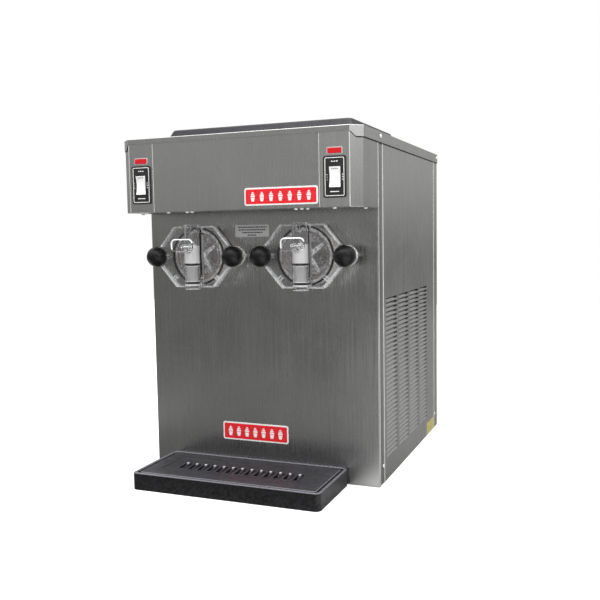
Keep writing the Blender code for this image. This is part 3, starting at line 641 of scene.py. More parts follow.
# a darker copy of the white: painted shade on the plunger's waist
WHITE_SHADED = plastic("white_acetal_waist_painted_shade", (0.36, 0.35, 0.355), 0.34, grain=0.0002, scale=260)
for look in (WHITE, WHITE_SHADED):
    look.node_tree.nodes["Principled BSDF"].inputs["Subsurface Weight"].default_value = 0.0
for look in (KNOB, GRID, COVER, TRAY):
    look.node_tree.nodes["Principled BSDF"].inputs["Specular IOR Level"].default_value = 0.30
# hazed interior steel with a painted glow, for the cylinder shell and the dasher
HAZE_LIT = hazed_self_lit("hazed_painted_glow_cylinder_steel", (0.60, 0.57, 0.56))
HAZE_LIT_BRIGHT = hazed_self_lit("hazed_painted_glow_dasher_steel", (0.86, 0.84, 0.86), 0.30, 0.55)
RUBBER = rubber("black_rubber", (0.008, 0.008, 0.0085))
DARK = rubber("dark_matte", (0.005, 0.005, 0.0055), 0.8)
LENS = lens("red_lens", (0.50, 0.003, 0.009))
CLEAR = clear("clear_plastic")
RIM_HIGHLIGHT = rim("clear_rim_painted_highlight", 0.85)
RIM_HIGHLIGHT_SOFT = rim("clear_rim_painted_highlight_soft", 0.30)
MOTOR = plastic("motor_enamel", (0.030, 0.034, 0.038), 0.35, grain=0.0002, scale=260, coat=0.4)
CORD = rubber("cord_rubber", (0.022, 0.022, 0.023), 0.5)

# ================================================================== sheet metal
NEAR = 0.0013  # the header's bottom sheet ends here, in front of the frame


def front_panel():
    low, high = span("front_panel")
    body = prism(folded([(-HALF, high.y), (-HALF, 0), (HALF, 0), (HALF, high.y)], SHEET, 0.0019), low.z, high.z)
    holes = []
    for _, s in SIDES:
        holes.append(rod(0.0667, -0.02, 0.02, "-y", (s * CYL_X, 0, CYL_Z), 72))
        for t in (-1, 1):
            holes.append(rod(0.0052, -0.02, 0.02, "-y", (s * CYL_X + t * STUD_X, 0, CYL_Z), 20))
    minus(body, *holes)
    piece(shade(body), "front_panel_skin", FRONT_SHADED, "cabinet", ["front_panel"])


def header_corner(side, s):
    seam = SEAM_R if s > 0 else -SEAM_L
    seam += 0.0004
    path = [(seam, HEAD_FRONT), (HALF - CHAMFER[0], HEAD_FRONT), (HALF, HEAD_FRONT + CHAMFER[1]), (HALF, 0.0050)]
    outer = fillet(path, [0, 0.0030, 0.0030, 0], steps=6)
    body = prism(outer + [(seam, 0.0050)], HEAD_LOW, HEAD_TOP)
    # fold along the bottom of the outer faces
    bm = bmesh.new()
    bm.from_mesh(body.data)
    rim = [e for e in bm.edges if all(abs(v.co.z - HEAD_LOW) < 1e-6 for v in e.verts) and not all(v.co.y > 0.0049 for v in e.verts) and not all(abs(v.co.x - seam) < 1e-6 for v in e.verts)]
    bmesh.ops.bevel(bm, geom=rim, offset=0.0016, offset_type="OFFSET", segments=3, profile=0.5, affect="EDGES")
    bm.to_mesh(body.data)
    bm.free()
    inner = offset(outer, SHEET)
    inner = [(seam - 0.02, inner[0][1]), *inner[1:-1], (inner[-1][0], 0.02)]
    hollow = prism(inner + [(seam - 0.02, 0.02)], HEAD_LOW + SHEET, HEAD_TOP + 0.02)
    x = span("rocker_right")
    x = (x[0].x + x[1].x) / 2
    z = (span("rocker_right")[0].z + span("rocker_right")[1].z) / 2
    lamp = span("indicator_right")
    cuts = [
        hollow,
        block((seam - 0.02, NEAR, 0.59), (HALF - SHEET, 0.03, 0.79)),
        block((x - 0.0145, HEAD_FRONT - 0.01, z - 0.0245), (x + 0.0145, HEAD_FRONT + 0.01, z + 0.0245)),
        block((lamp[0].x - 0.0004, HEAD_FRONT - 0.01, lamp[0].z - 0.0004), (lamp[1].x + 0.0004, HEAD_FRONT + 0.01, lamp[1].z + 0.0004)),
    ]
    minus(body, *cuts)
    if s < 0:
        mirrored(body)
    # the right corner's front face gets the lighter copy as painted highlight; chamfer faces get their own copy
    for face in body.data.polygons:
        n = face.normal
        face.material_index = 1 if side == "right" and n.y < -0.9 else 2 if abs(n.x) > 0.3 and n.y < -0.3 else 0
    piece(shade(body, 40), f"header_corner_{side}", [HEAD, HEAD_LIT, HEAD_TURN], "cabinet", [f"header_{side}_panel"])


def header_centre():
    path = [(NEAR, HEAD_LOW), (HEAD_FRONT, HEAD_LOW), (HEAD_FRONT, HEAD_TOP)]
    outer = fillet(path, 0.0016)
    outline = outer + offset(outer, -SHEET)[::-1]
    body = prism(outline, SEAM_L, SEAM_R, "x")
    bevel(body, 0.00025, 1, 60)
    piece(shade(body, 40), "header_centre", HEAD, "cabinet", ["header_centre_panel"])


def plan(d, back):
    right = [(HALF - CHAMFER[0] + 0.393 * d, HEAD_FRONT - d), (HALF + d, HEAD_FRONT + CHAMFER[1] - 0.4355 * d), (HALF + d, back)]
    return [(-x, y) for x, y in right][::-1] + right


def lid():
    low, high = span("top_cover")
    outer = fillet(plan(LID_OVER, LID_BACK), [0.0015, 0.0035, 0.0030, 0.0030, 0.0035, 0.0015], closed=True)
    body = prism(outer, low.z, high.z)
    bm = bmesh.new()
    bm.from_mesh(body.data)
    rim = [e for e in bm.edges if all(abs(v.co.z - high.z) < 1e-6 for v in e.verts)]
    bmesh.ops.bevel(bm, geom=rim, offset=0.0017, offset_type="OFFSET", segments=4, profile=0.5, affect="EDGES")
    bm.to_mesh(body.data)
    bm.free()
    inner = fillet(plan(LID_OVER - SHEET, LID_BACK - SHEET), [0.0005, 0.0025, 0.0020, 0.0020, 0.0025, 0.0005], closed=True)
    hollow = prism(inner, low.z - 0.02, high.z - SHEET)
    trim = prism([(-0.2690, 0.7440), (0.2690, 0.7440), (0.2575, LID_TOP - 0.0118), (-0.2575, LID_TOP - 0.0118)], 0.1000, 0.1300, "-y")
    mouths = [prism(rounded(s * 0.1125 - 0.0905, 0.0350, s * 0.1125 + 0.0905, 0.3000, 0.010), 0.75, 0.79) for _, s in SIDES]
    minus(body, hollow, trim, *mouths)
    piece(shade(body, 40), "lid_sheet", LID, "cabinet", ["top_cover"])


LOUVER_COLUMNS = ((0.058, 0.150), (0.168, 0.257), (0.272, 0.363), (0.380, 0.461))
LOUVER_TOP, LOUVER_PITCH, LOUVER_ROWS = 0.4110, 0.01031, 35
SLOT_HIGH, SLOT_LOW, SLOT_OPEN, LOUVER_DEPTH = 0.0044, 0.0040, 0.0032, 0.0042


def louver_ends():
    """Dark chips at the rear end of every louver: painted shade, shrinking towards the lower rows."""
    shade_chips = []
    for y0, y1 in LOUVER_COLUMNS:
        for row in range(LOUVER_ROWS):
            z = LOUVER_TOP - LOUVER_PITCH * (row + 0.5) + SLOT_HIGH
            shade_fade = 1 - 0.5 * row / LOUVER_ROWS
            shade_chips.append(prism([(y1 - 0.0010 - 0.0050 * shade_fade, z), (y1 + 0.0004, z), (y1 + 0.0004, z - 0.0040 * shade_fade), (y1 - 0.0010 - 0.0034 * shade_fade, z - 0.0036 * shade_fade)], HALF - 0.0001, HALF + 0.0002, "x"))
    gather(shade_chips[0], *shade_chips[1:])
    piece(shade_chips[0], "louver_end_painted_shade", DARK, "cabinet", ())


def side_sheet(s, low, high):
    """A side panel with a hem rolled in at its front and rear edges."""
    face = HALF
    path = [(face - 0.0012, low.y), (face, low.y), (face, high.y), (face - 0.0012, high.y)]
    outer = fillet(path, 0.0011)
    return prism(outer, low.z, high.z)


def louver_hoods():
    """Louvers pressed inwards: each face slopes in and up from the sheet to an open slot along its top edge."""
    bm = bmesh.new()
    thick = 0.0008
    profile = [0, 0.3, 0.6, 0.85, 1.0]
    for y0, y1 in LOUVER_COLUMNS:
        stops = [(y0 - 0.0008, 0.0), (y0 + 0.0007, 0.55), (y0 + 0.0024, 0.9), (y0 + 0.0045, 1.0), ((y0 + y1) / 2, 1.0), (y1 - 0.0045, 1.0), (y1 - 0.0024, 0.9), (y1 - 0.0007, 0.55), (y1 + 0.0008, 0.0)]
        for row in range(LOUVER_ROWS):
            zc = LOUVER_TOP - LOUVER_PITCH * (row + 0.5)
            top, low = zc + SLOT_HIGH - SLOT_OPEN, zc - SLOT_LOW
            outer, inner = [], []
            for y, end in stops:
                a, b = [], []
                for f in profile:
                    z = top + (low - 0.0006 - top) * f
                    d = LOUVER_DEPTH * end * (1 - f) ** 0.85
                    a.append(bm.verts.new((HALF - 0.0002 - d, y, z)))
                    b.append(bm.verts.new((HALF - 0.0002 - d - thick, y, z - thick * 0.3)))
                outer.append(a)
                inner.append(b)
            m, n = len(profile), len(stops) - 1
            for i in range(n):
                for k in range(m - 1):
                    bm.faces.new((outer[i][k + 1], outer[i + 1][k + 1], outer[i + 1][k], outer[i][k]))
                    bm.faces.new((inner[i][k], inner[i + 1][k], inner[i + 1][k + 1], inner[i][k + 1]))
                bm.faces.new((outer[i][0], outer[i + 1][0], inner[i + 1][0], inner[i][0]))
                bm.faces.new((inner[i][m - 1], inner[i + 1][m - 1], outer[i + 1][m - 1], outer[i][m - 1]))
            for i in (0, n):
                for k in range(m - 1):
                    quad = (outer[i][k], inner[i][k], inner[i][k + 1], outer[i][k + 1])
                    bm.faces.new(quad if i == 0 else quad[::-1])
    bmesh.ops.recalc_face_normals(bm, faces=bm.faces[:])
    return work(bm, "hoods")


def side_panels():
    low, high = span("right_side_panel")
    body = side_sheet(1, low, high)
    bm = bmesh.new()
    for y0, y1 in LOUVER_COLUMNS:
        for row in range(LOUVER_ROWS):
            z = LOUVER_TOP - LOUVER_PITCH * (row + 0.5)
            size = Vector((0.02, y1 - y0, SLOT_HIGH + SLOT_LOW))
            bmesh.ops.create_cube(bm, size=1, matrix=Matrix.Translation((HALF, (y0 + y1) / 2, z + (SLOT_HIGH - SLOT_LOW) / 2)) @ Matrix.Diagonal((*size, 1)))
    minus(body, work(bm, "slots"))
    shade(body, 40)
    hoods = shade(louver_hoods(), 60)
    piece(body, "side_panel_right", SIDE, "cabinet", ["right_side_panel"])
    piece(hoods, "side_louvers_right", LOUVER, "cabinet", ())
    filter_mat = block((HALF - 0.0085, 0.0560, 0.0440), (HALF - 0.0075, 0.4640, 0.4105))
    piece(shade(filter_mat), "air_filter_mat", DARK, "cabinet", ())
    low, high = span("left_side_panel")
    body = mirrored(side_sheet(1, low, high))
    piece(shade(body, 40), "side_panel_left", SIDE, "cabinet", ["left_side_panel"])


def rear_panel():
    low, high = span("rear_panel")
    body = prism(folded([(HALF, low.y), (HALF, high.y), (-HALF, high.y), (-HALF, low.y)], SHEET, 0.0019), low.z, high.z)
    cuts = []
    for x0 in (0.030, 0.140):
        for row in range(12):
            z = 0.110 + 0.022 * row
            cuts.append(prism(rounded(x0, z, x0 + 0.090, z + 0.007, 0.0034), -0.61, -0.58, "-y"))
    cuts.append(rod(0.0080, -0.62, -0.58, "-y", (-0.180, 0, 0.060), 32))
    minus(body, *cuts)
    piece(shade(body, 40), "rear_panel_skin", SIDE, "cabinet", ["rear_panel"])


def bead(x, y, low, high, r=0.0009):
    return rod(r, low, high, "z", (x, y, 0), 16, "bead")


def trim_lines():
    """The frame strips between the panels, light beads on the rolled panel edges as painted highlight lines, and a dark
    strip under the lid as painted shadow.
    """
    for side, s in SIDES:
        strip = prism([(HALF - 0.0013, 0.0060), (HALF - 0.0010, 0.0060), (HALF - 0.0010, 0.0362), (HALF - 0.0013, 0.0362)][::-1], BODY_LOW, LID_TOP - 0.0205)
        if s < 0:
            mirrored(strip)
        piece(shade(strip), f"frame_strip_{side}", STRIP, "cabinet", ())
        # light beads along the rolled edges: painted highlight lines
        beads = [
            bead(HALF - 0.0005, 0.0047, BODY_LOW + 0.001, HEAD_LOW - 0.001, 0.0013),
            bead(HALF - 0.0005, 0.0043, HEAD_LOW + 0.001, LID_TOP - 0.0215, 0.0013),
            bead(HALF - 0.0003, 0.0378, BODY_LOW + 0.001, LID_TOP - 0.0215, 0.0013),
            bead(HALF - 0.0003, 0.5506, BODY_LOW + 0.001, LID_TOP - 0.0215, 0.0014),
            bead(HALF - CHAMFER[0] - 0.0002, HEAD_FRONT + 0.0008, HEAD_LOW + 0.0012, LID_TOP - 0.0125, 0.0011),
        ]
        for obj in beads:
            if s < 0:
                mirrored(obj)
        gather(beads[0], *beads[1:])
        piece(shade(beads[0], 50), f"rolled_edge_highlights_{side}", EDGE_HIGHLIGHT, "cabinet", ())
    # light beads on the header seams: painted highlight lines
    seams = [bead(x, HEAD_FRONT + 0.0003, HEAD_LOW + 0.0012, LID_TOP - 0.0105, 0.0008) for x in (SEAM_L - 0.0010, SEAM_R - 0.0008)]
    gather(seams[0], *seams[1:])
    piece(shade(seams[0], 50), "header_seam_highlights", EDGE_HIGHLIGHT, "cabinet", ())

    # a dark strip along the lip's lower edge: painted shadow standing in for the shaded gap under the lid
    lip_front, lip_side = LID_TOP - 0.0118, LID_TOP - 0.0229
    a, b = CHAMFER
    turn_x = 0.2674
    line = [(0.2575, HEAD_FRONT + (0.2575 - HALF + a) * b / a, lip_front), (turn_x, HEAD_FRONT + (turn_x - HALF + a) * b / a, lip_side), (HALF, HEAD_FRONT + b, lip_side), (HALF, LID_BACK - 0.0030, lip_side)]
    line = [(-x, y, z) for x, y, z in line[::-1]] + line
    bm = bmesh.new()
    rows = []
    for i, (x, y, z) in enumerate(line):
        ahead = Vector(line[min(i + 1, len(line) - 1)][:2]) - Vector((x, y))
        behind = Vector((x, y)) - Vector(line[max(i - 1, 0)][:2])
        along = (ahead.normalized() if ahead.length else Vector((0, 0))) + (behind.normalized() if behind.length else Vector((0, 0)))
        out = Vector((along.y, -along.x)).normalized()
        rows.append([bm.verts.new((x + out.x * d, y + out.y * d, z + h)) for d, h in ((-0.0004, -0.0021), (0.0009, -0.0021), (0.0009, 0.0012), (-0.0004, 0.0012))])
    for p, q in zip(rows, rows[1:]):
        for k in range(4):
            m = (k + 1) % 4
            bm.faces.new((p[k], p[m], q[m], q[k]))
    bm.faces.new(rows[0][::-1])
    bm.faces.new(rows[-1])
    bmesh.ops.recalc_face_normals(bm, faces=bm.faces[:])
    piece(shade(work(bm, "seal"), 30), "lid_lip_painted_shadow", DARK, "cabinet", ())


front_panel()
for side, s in SIDES:
    header_corner(side, s)
header_centre()
lid()
side_panels()
louver_ends()
rear_panel()
trim_lines()


# ============================================================ hopper cover and tray
def hopper_cover():
    low, high = span("hopper_cover")
    draft = 0.0142

    def shell(inset, bottom, top, r):
        bm = bmesh.new()
        rings = []
        h = high.z - low.z
        levels = [(bottom, 0)] + [((top - 0.0035 * (1 - math.sin(a))), 0.0035 * (1 - math.cos(a))) for a in (math.radians(k) for k in (0, 30, 60, 90))] if r > 0.004 else [(bottom, 0), (top, 0)]
        for z, pull in levels:
            g = inset + draft * (z - low.z) / h + pull
            outline = rounded(low.x + g, low.y + g, high.x - g, high.y - g, max(r - pull * 0.3, 0.002), 8)
            rings.append([bm.verts.new((x, y, z)) for x, y in outline])
        for a, b in zip(rings, rings[1:]):
            for i in range(len(a)):
                j = (i + 1) % len(a)
                bm.faces.new((a[i], a[j], b[j], b[i]))
        bm.faces.new(rings[0][::-1])
        bm.faces.new(rings[-1])
        return work(bm, "cover")

    high.z += 0.0014
    body = shell(0, low.z, high.z, 0.0100)
    minus(body, shell(0.0035, low.z - 0.002, high.z - 0.0035, 0.0035))
    piece(shade(body, 50), "hopper_cover_moulding", COVER, "hopper_lid", ["hopper_cover"])


def drip_tray():
    low, high = span("drip_tray")
    bm = bmesh.new()
    rings = []
    # outer wall, with a rounded top rim
    rim = 0.0026
    levels = [(low.z, 0.0007, 0.0), (low.z + 0.0007, 0.0, 0.0), (high.z - rim, 0.0, 0.0)]
    levels += [(high.z - rim + rim * math.sin(math.radians(a)), rim * (1 - math.cos(math.radians(a))), 0) for a in (22, 45, 67, 90)]
    for z, g, _ in levels:
        rings.append([bm.verts.new((x, y, z)) for x, y in rounded(low.x + g, low.y + g, high.x - g, high.y - g * 0.2, 0.0125 - g * 0.6, 8)])
    inner = [(high.z, 0.0052), (high.z - 0.0007, 0.0066), (high.z - 0.0022, 0.0074), (0.0332, 0.0077), (0.0330, 0.0082), (0.0330, 0.0180), (0.0050, 0.0195), (0.0040, 0.0215)]
    for z, g in inner:
        rings.append([bm.verts.new((x, y, z)) for x, y in rounded(low.x + g, low.y + g, high.x - g, high.y - g * 0.72, max(0.0125 - g * 0.6, 0.004), 8)])
    for a, b in zip(rings, rings[1:]):
        for i in range(len(a)):
            j = (i + 1) % len(a)
            bm.faces.new((a[i], a[j], b[j], b[i]))
    bm.faces.new(rings[0][::-1])
    bm.faces.new(rings[-1])
    body = work(bm, "tray")
    for face in body.data.polygons:
        c, n = face.center, face.normal
        # upward-facing rim faces get the painted highlight
        on_rim = c.z > high.z - 0.0015 and face.area < 0.02
        face.material_index = 1 if on_rim and n.z > 0.30 else 0
    piece(shade(body, 50), "drip_tray_moulding", [TRAY, TRAY_RIM_HIGHLIGHT], "tray", ["drip_tray"])

    low, high = span("drip_tray_grid")
    bm = bmesh.new()
    rings = []
    levels = [(low.z, 0.0004), (high.z - 0.0016, 0.0), (high.z - 0.0009, 0.0002), (high.z - 0.0003, 0.0008), (high.z, 0.0018)]
    for z, g in levels:
        rings.append([bm.verts.new((x, y, z)) for x, y in rounded(low.x + g, low.y + g, high.x - g, high.y - g, 0.0063 - g, 6)])
    for a, b in zip(rings, rings[1:]):
        for i in range(len(a)):
            j = (i + 1) % len(a)
            bm.faces.new((a[i], a[j], b[j], b[i]))
    bm.faces.new(rings[0][::-1])
    bm.faces.new(rings[-1])
    body = work(bm, "grid")
    # the grid's rounded top edges get the painted highlight
    for face in body.data.polygons:
        face.material_index = 1 if 0.05 < face.normal.z < 0.97 else 0
    # a shallow pocket with sloped walls around the slots
    bm = bmesh.new()
    rings = []
    for z, g in ((high.z - 0.0014, 0.0022), (high.z + 0.0010, -0.0014)):
        rings.append([bm.verts.new((x, y, z)) for x, y in rounded(-0.190 + g, -0.137 + g, 0.150 - g, -0.046 - g, 0.004, 5)])
    for i in range(len(rings[0])):
        j = (i + 1) % len(rings[0])
        bm.faces.new((rings[0][i], rings[0][j], rings[1][j], rings[1][i]))
    bm.faces.new(rings[0][::-1])
    bm.faces.new(rings[1])
    pocket = work(bm, "pocket")
    # slots: straight through at the front, with a sloped floor rising towards the back
    slots = []
    first, last = -0.1480, 0.1260
    scoops = []
    floor = high.z - 0.0014
    for i in range(13):
        x = first + (last - first) * i / 12
        top, under = high.z + 0.006, low.z - 0.002
        slots.append(prism([(-0.1190, top), (-0.1190, under), (-0.0960, under), (-0.0840, floor + 0.0030), (-0.0840, top)][::-1], x - 0.0042, x + 0.0042, "x"))
        # each slot has a raised lip that stands highest at its far end
        lip = prism([(-0.1215, floor - 0.0004), (-0.0790, floor - 0.0004), (-0.0800, floor + 0.0030), (-0.0850, floor + 0.0040), (-0.0960, floor + 0.0026), (-0.1215, floor + 0.0010)][::-1], x - 0.0066, x + 0.0066, "x")
        bevel(lip, 0.0008, 2, 30)
        scoops.append(lip)
    minus(body, pocket)
    plus(body, *scoops)
    minus(body, *slots)
    # a light pip at each slot's far end: painted glint
    glints = []
    for i in range(13):
        x = first + (last - first) * i / 12
        glint = turned(fillet([(0, 0.0022), (0.0032, 0.0014), (0.0036, -0.0020), (0, -0.0020)], [0, 0.0010, 0.0006, 0], steps=3), 20, "z", (x, -0.0846, floor + 0.0026))
        glints.append(shade(glint, 60))
    gather(glints[0], *glints[1:])
    piece(glints[0], "grille_slot_painted_glints", PIP_GLINT, "tray_grid", ())
    piece(shade(body, 30), "drip_tray_grille", [GRID, TRAY_RIM_HIGHLIGHT], "tray_grid", ["drip_tray_grid"])


hopper_cover()
drip_tray()

# ================================================== cylinders, dashers, doors, handles
BARREL_Y = -0.0720
BARREL_LOW = 0.4355
PIVOT = (-0.0930, 0.5300)
SEAL_Z = (0.4908, 0.4500)
DASH = math.radians(35)


def cylinder_and_studs(side, s):
    x = s * CYL_X
    at = (x, 0, CYL_Z)
    profile = [(0.0545, 0.0380), (0.0655, 0.0380), (0.0655, -0.0040), (0.0750, -0.0040), (0.0750, -0.4000), (0.0112, -0.4000), (0.0112, -0.3920), (0.0545, -0.3920)]
    profile = fillet(profile, [0.0006, 0.0009, 0.0005, 0.0015, 0.0015, 0.0004, 0.0004, 0.0010], closed=True, steps=2)
    tube = turned(profile, 96, "-y", at, closed=True)
    shade(tube, 50)
    flange = prism(rounded(x - 0.1120, CYL_Z - 0.0240, x + 0.1120, CYL_Z + 0.0240, 0.006), -0.0070, -0.0020, "-y")
    minus(flange, rod(0.0560, -0.03, 0.03, "-y", at, 64))
    shade(flange, 40)
    gather(tube, flange)
    for t in (-1, 1):
        end = 0.0700
        pitch, r = 0.0013, 0.0040
        turns = 14
        profile = [(0, end), (r - 0.0008, end), (r, end - 0.0008)]
        for k in range(turns):
            h = end - 0.0010 - pitch * k
            profile += [(r, h), (r - 0.00055, h - pitch / 2)]
        h = end - 0.0010 - pitch * turns
        profile += [(r, h), (r, -0.0060), (0, -0.0060)]
        stud = turned(profile, 24, "-y", (x + t * STUD_X, 0, CYL_Z))
        shade(stud, 60)
        gather(tube, stud)
    piece(tube, f"cylinder_shell_{side}", HAZE_LIT, "cabinet", [f"freezing_cylinder_{side}"])


def spiral_ribbon(x, r0, r1, y0, y1, turns, thick, start, hand=1, steps=140):
    """A helical blade of constant width, standing on edge round the dasher's axis."""
    bm = bmesh.new()
    rows = []
    for i in range(steps + 1):
        t = i / steps
        a = start + hand * 2 * math.pi * turns * t
        y = y0 + (y1 - y0) * t
        c, q = math.cos(a), math.sin(a)
        row = []
        for r, dy in ((r0, -thick), (r1, -thick), (r1, thick), (r0, thick)):
            row.append(bm.verts.new((x + r * c, y + dy, CYL_Z + r * q)))
        rows.append(row)
    for a, b in zip(rows, rows[1:]):
        for k in range(4):
            j = (k + 1) % 4
            bm.faces.new((a[k], a[j], b[j], b[k]))
    bm.faces.new(rows[0])
    bm.faces.new(rows[-1][::-1])
    return work(bm, "ribbon")


def dasher(side, s):
    x = s * CYL_X

    def spun(obj, angle):
        obj.data.transform(Matrix.Translation((x, 0, CYL_Z)) @ Matrix.Rotation(-angle, 4, "Y") @ Matrix.Translation((-x, 0, -CYL_Z)))
        return obj

    shaft = turned(
        soften_rings([(0, -0.3700), (0.0440, -0.3700), (0.0440, -0.3780), (0.0100, -0.3780), (0.0100, -0.4400), (0, -0.4400)], [0, 0.001, 0.001, 0.001, 0.001, 0]),
        48, "-y", (x, 0, CYL_Z),
    )
    shade(shaft, 50)
    parts = []
    for k, (dx, dz) in enumerate(((0.0400, 0), (-0.0400, 0), (0, 0.0400), (0, -0.0400))):
        bar = block((x + dx - 0.0034, -0.0235, CYL_Z + dz - 0.0034), (x + dx + 0.0034, 0.3745, CYL_Z + dz + 0.0034))
        bevel(bar, 0.0010, 2)
        parts.append(shade(bar))
    # cast front cross: arms that thin towards their ends, and a domed hub
    arm = [(-0.0420, -0.0036), (-0.0120, -0.0056), (0.0120, -0.0056), (0.0420, -0.0036), (0.0420, 0.0036), (0.0120, 0.0056), (-0.0120, 0.0056), (-0.0420, 0.0036)]
    cross = prism([(x + u, CYL_Z + v) for u, v in arm], 0.0180, 0.0250, "-y")
    upright = prism([(x - v, CYL_Z + u) for u, v in arm], 0.0185, 0.0245, "-y")
    for bar in (cross, upright):
        bevel(bar, 0.0012, 3)
        parts.append(shade(bar))
    nose = turned(soften_rings([(0, 0.0272), (0.0105, 0.0272), (0.0105, 0.0170), (0, 0.0170)], [0, 0.0030, 0.0005, 0]), 40, "-y", (x, 0, CYL_Z))
    parts.append(shade(nose))
    ribbons = []
    for k in range(2):
        ribbon = spiral_ribbon(x, 0.0300, 0.0425, 0.0100, 0.3500, 2.2, 0.0014, math.pi * k + 0.6)
        ribbons.append(shade(ribbon, 40))
    gather(shaft, *parts, *ribbons)
    spun(shaft, DASH)
    piece(shaft, f"dasher_frame_{side}", HAZE_LIT_BRIGHT, f"dasher_body_{side}", [f"dasher_{side}"])
    near, far = -0.0200, 0.3680
    for k, t in enumerate((-1, 1)):
        zc = CYL_Z + t * 0.0010
        edge, root = x + t * 0.0528, x + t * 0.0440
        outline = [(root, zc - 0.0022), (root + t * 0.0045, zc - 0.0024), (edge, zc - t * 0.0002), (root + t * 0.0045, zc + 0.0024), (root, zc + 0.0022)]
        blade = prism(outline if t > 0 else outline[::-1], -far, -near, "-y")
        cuts = []
        for i in range(6):
            y = near + 0.030 + 0.062 * i
            cuts.append(block((min(root, root + t * 0.0030), y, zc - 0.01), (max(root, root + t * 0.0030), y + 0.030, zc + 0.01)))
        minus(blade, *cuts)
        bevel(blade, 0.0003, 1, 50)
        piece(shade(spun(blade, DASH)), f"scraper_{side}_{k + 1}", WHITE, f"dasher_body_{side}", [f"scraper_blade_{side}_{k + 1}"])


def door_shape():
    """One clear door about x = 0."""
    at = (0, 0, CYL_Z)

    def plate(outline, near, far):
        return prism(outline, near, far, "-y", at)

    def both(points):
        return points + [(-u, v) for u, v in points[::-1]]

    outer = fillet(both([(0.0480, -0.0690), (0.1070, 0), (0.0510, 0.0680)]), 0.0060, closed=True)
    inset = fillet(both([(0.0462, -0.0650), (0.1018, 0), (0.0491, 0.0640)]), 0.0040, closed=True)
    body = plate(outer, 0.0420, 0.0635)
    bevel(body, 0.0014, 3)
    minus(body, plate(inset, 0.0500, 0.0800))
    minus(body, *[rod(0.0262, 0.0500, 0.08, "-y", (t * STUD_X, 0, CYL_Z), 56) for t in (-1, 1)])
    ears = [rod(0.0225, 0.0420, 0.0500, "-y", (t * STUD_X, 0, CYL_Z), 56, edge=0.0012) for t in (-1, 1)]
    ribs = []
    for angle in (222, 318):
        c, q = math.cos(math.radians(angle)), math.sin(math.radians(angle))
        for w in (-0.0030, 0.0030):
            line = [(0.0660, w - 0.0007), (0.0830, w - 0.0007), (0.0830, w + 0.0007), (0.0660, w + 0.0007)]
            ribs.append(plate([(u * c - v * q, u * q + v * c) for u, v in line], 0.0490, 0.0610))
    for t in (-1, 1):
        for w in (-0.0030, 0.0030):
            line = [(0.0660, w - 0.0008), (0.0735, w - 0.0008), (0.0735, w + 0.0008), (0.0660, w + 0.0008)]
            ribs.append(plate([(u, v) for u, v in line] if t > 0 else [(-u, v) for u, v in line][::-1], 0.0490, 0.0600))
    plug = turned(fillet([(0.0536, 0.0440), (0.0536, 0.0300), (0.0490, 0.0300), (0.0490, 0.0440)], [0, 0.0010, 0.0010, 0], closed=True, steps=2), 96, "-y", at, closed=True)
    web = block((-0.0170, BARREL_Y, 0.4435), (0.0170, -0.0480, 0.5760))
    tube = turned(
        fillet([(0, BARREL_LOW), (0.0175, BARREL_LOW), (0.0175, 0.5735), (0.0186, 0.5745), (0.0186, 0.5790), (0, 0.5790)], [0, 0.0022, 0.0003, 0.0004, 0.0010, 0], steps=3),
        64, "z", (0, BARREL_Y, 0),
    )
    plus(body, *ears)
    plus(body, *ribs)
    plus(body, plug)
    plus(body, web)
    plus(body, tube)
    lugs = []
    for t in (-1, 1):
        ends = sorted((t * 0.0046, t * 0.0110))
        lug = prism(arc(PIVOT[0], PIVOT[1], 0.0055, 90, 270, 10) + [(-0.0800, PIVOT[1] - 0.0075), (-0.0800, PIVOT[1] + 0.0075)], ends[0], ends[1], "x")
        lugs.append(lug)
    plus(body, *lugs)
    minus(
        body,
        turned(fillet([(0, 0.60), (0.0160, 0.60), (0.01305, 0.5765), (0.01305, 0.42), (0, 0.42)], [0, 0, 0.0005, 0, 0], steps=2), 64, "z", (0, BARREL_Y, 0)),
        block((-0.0045, -0.1050, PIVOT[1] - 0.0150), (0.0045, BARREL_Y, PIVOT[1] + 0.0150)),
        rod(0.0055, 0.0100, 0.0700, "-y", (0, 0, 0.4555), 32),
        rod(0.0024, -0.03, 0.03, "x", (0, PIVOT[0], PIVOT[1]), 24),
        *[rod(0.0052, 0, 0.09, "-y", (t * STUD_X, 0, CYL_Z), 32) for t in (-1, 1)],
    )
    return body


def handle_shape():
    """Handle about its pin: paddle, arm, hub and the finger that lifts the plunger."""
    tip = (0.0205 * math.cos(math.radians(20)), -0.0205 * math.sin(math.radians(20)))
    shape = (
        [(-0.0230, 0.0045), (-0.0230, -0.0040)]
        + arc(0, 0, 0.0062, 215, 300, 10)
        + [(0.0075, -0.0040)]
        + arc(tip[0], tip[1], 0.0032, -140, 100, 14)
        + [(0.0075, -0.0016)]
        + arc(0, 0, 0.0062, 20, 130, 12)
    )
    arm = prism([(PIVOT[0] + u, PIVOT[1] + v) for u, v in shape], -0.0034, 0.0034, "x")
    bevel(arm, 0.0006, 2, 40)
    paddle = prism(rounded(-0.0270, PIVOT[1] - 0.0105, 0.0270, PIVOT[1] + 0.0180, 0.0105, 10), 0.1130, 0.1190, "-y")
    bevel(paddle, 0.0027, 4, 40)
    minus(arm, rod(0.0024, -0.02, 0.02, "x", (0, PIVOT[0], PIVOT[1]), 24))
    plus(paddle, arm)
    return paddle


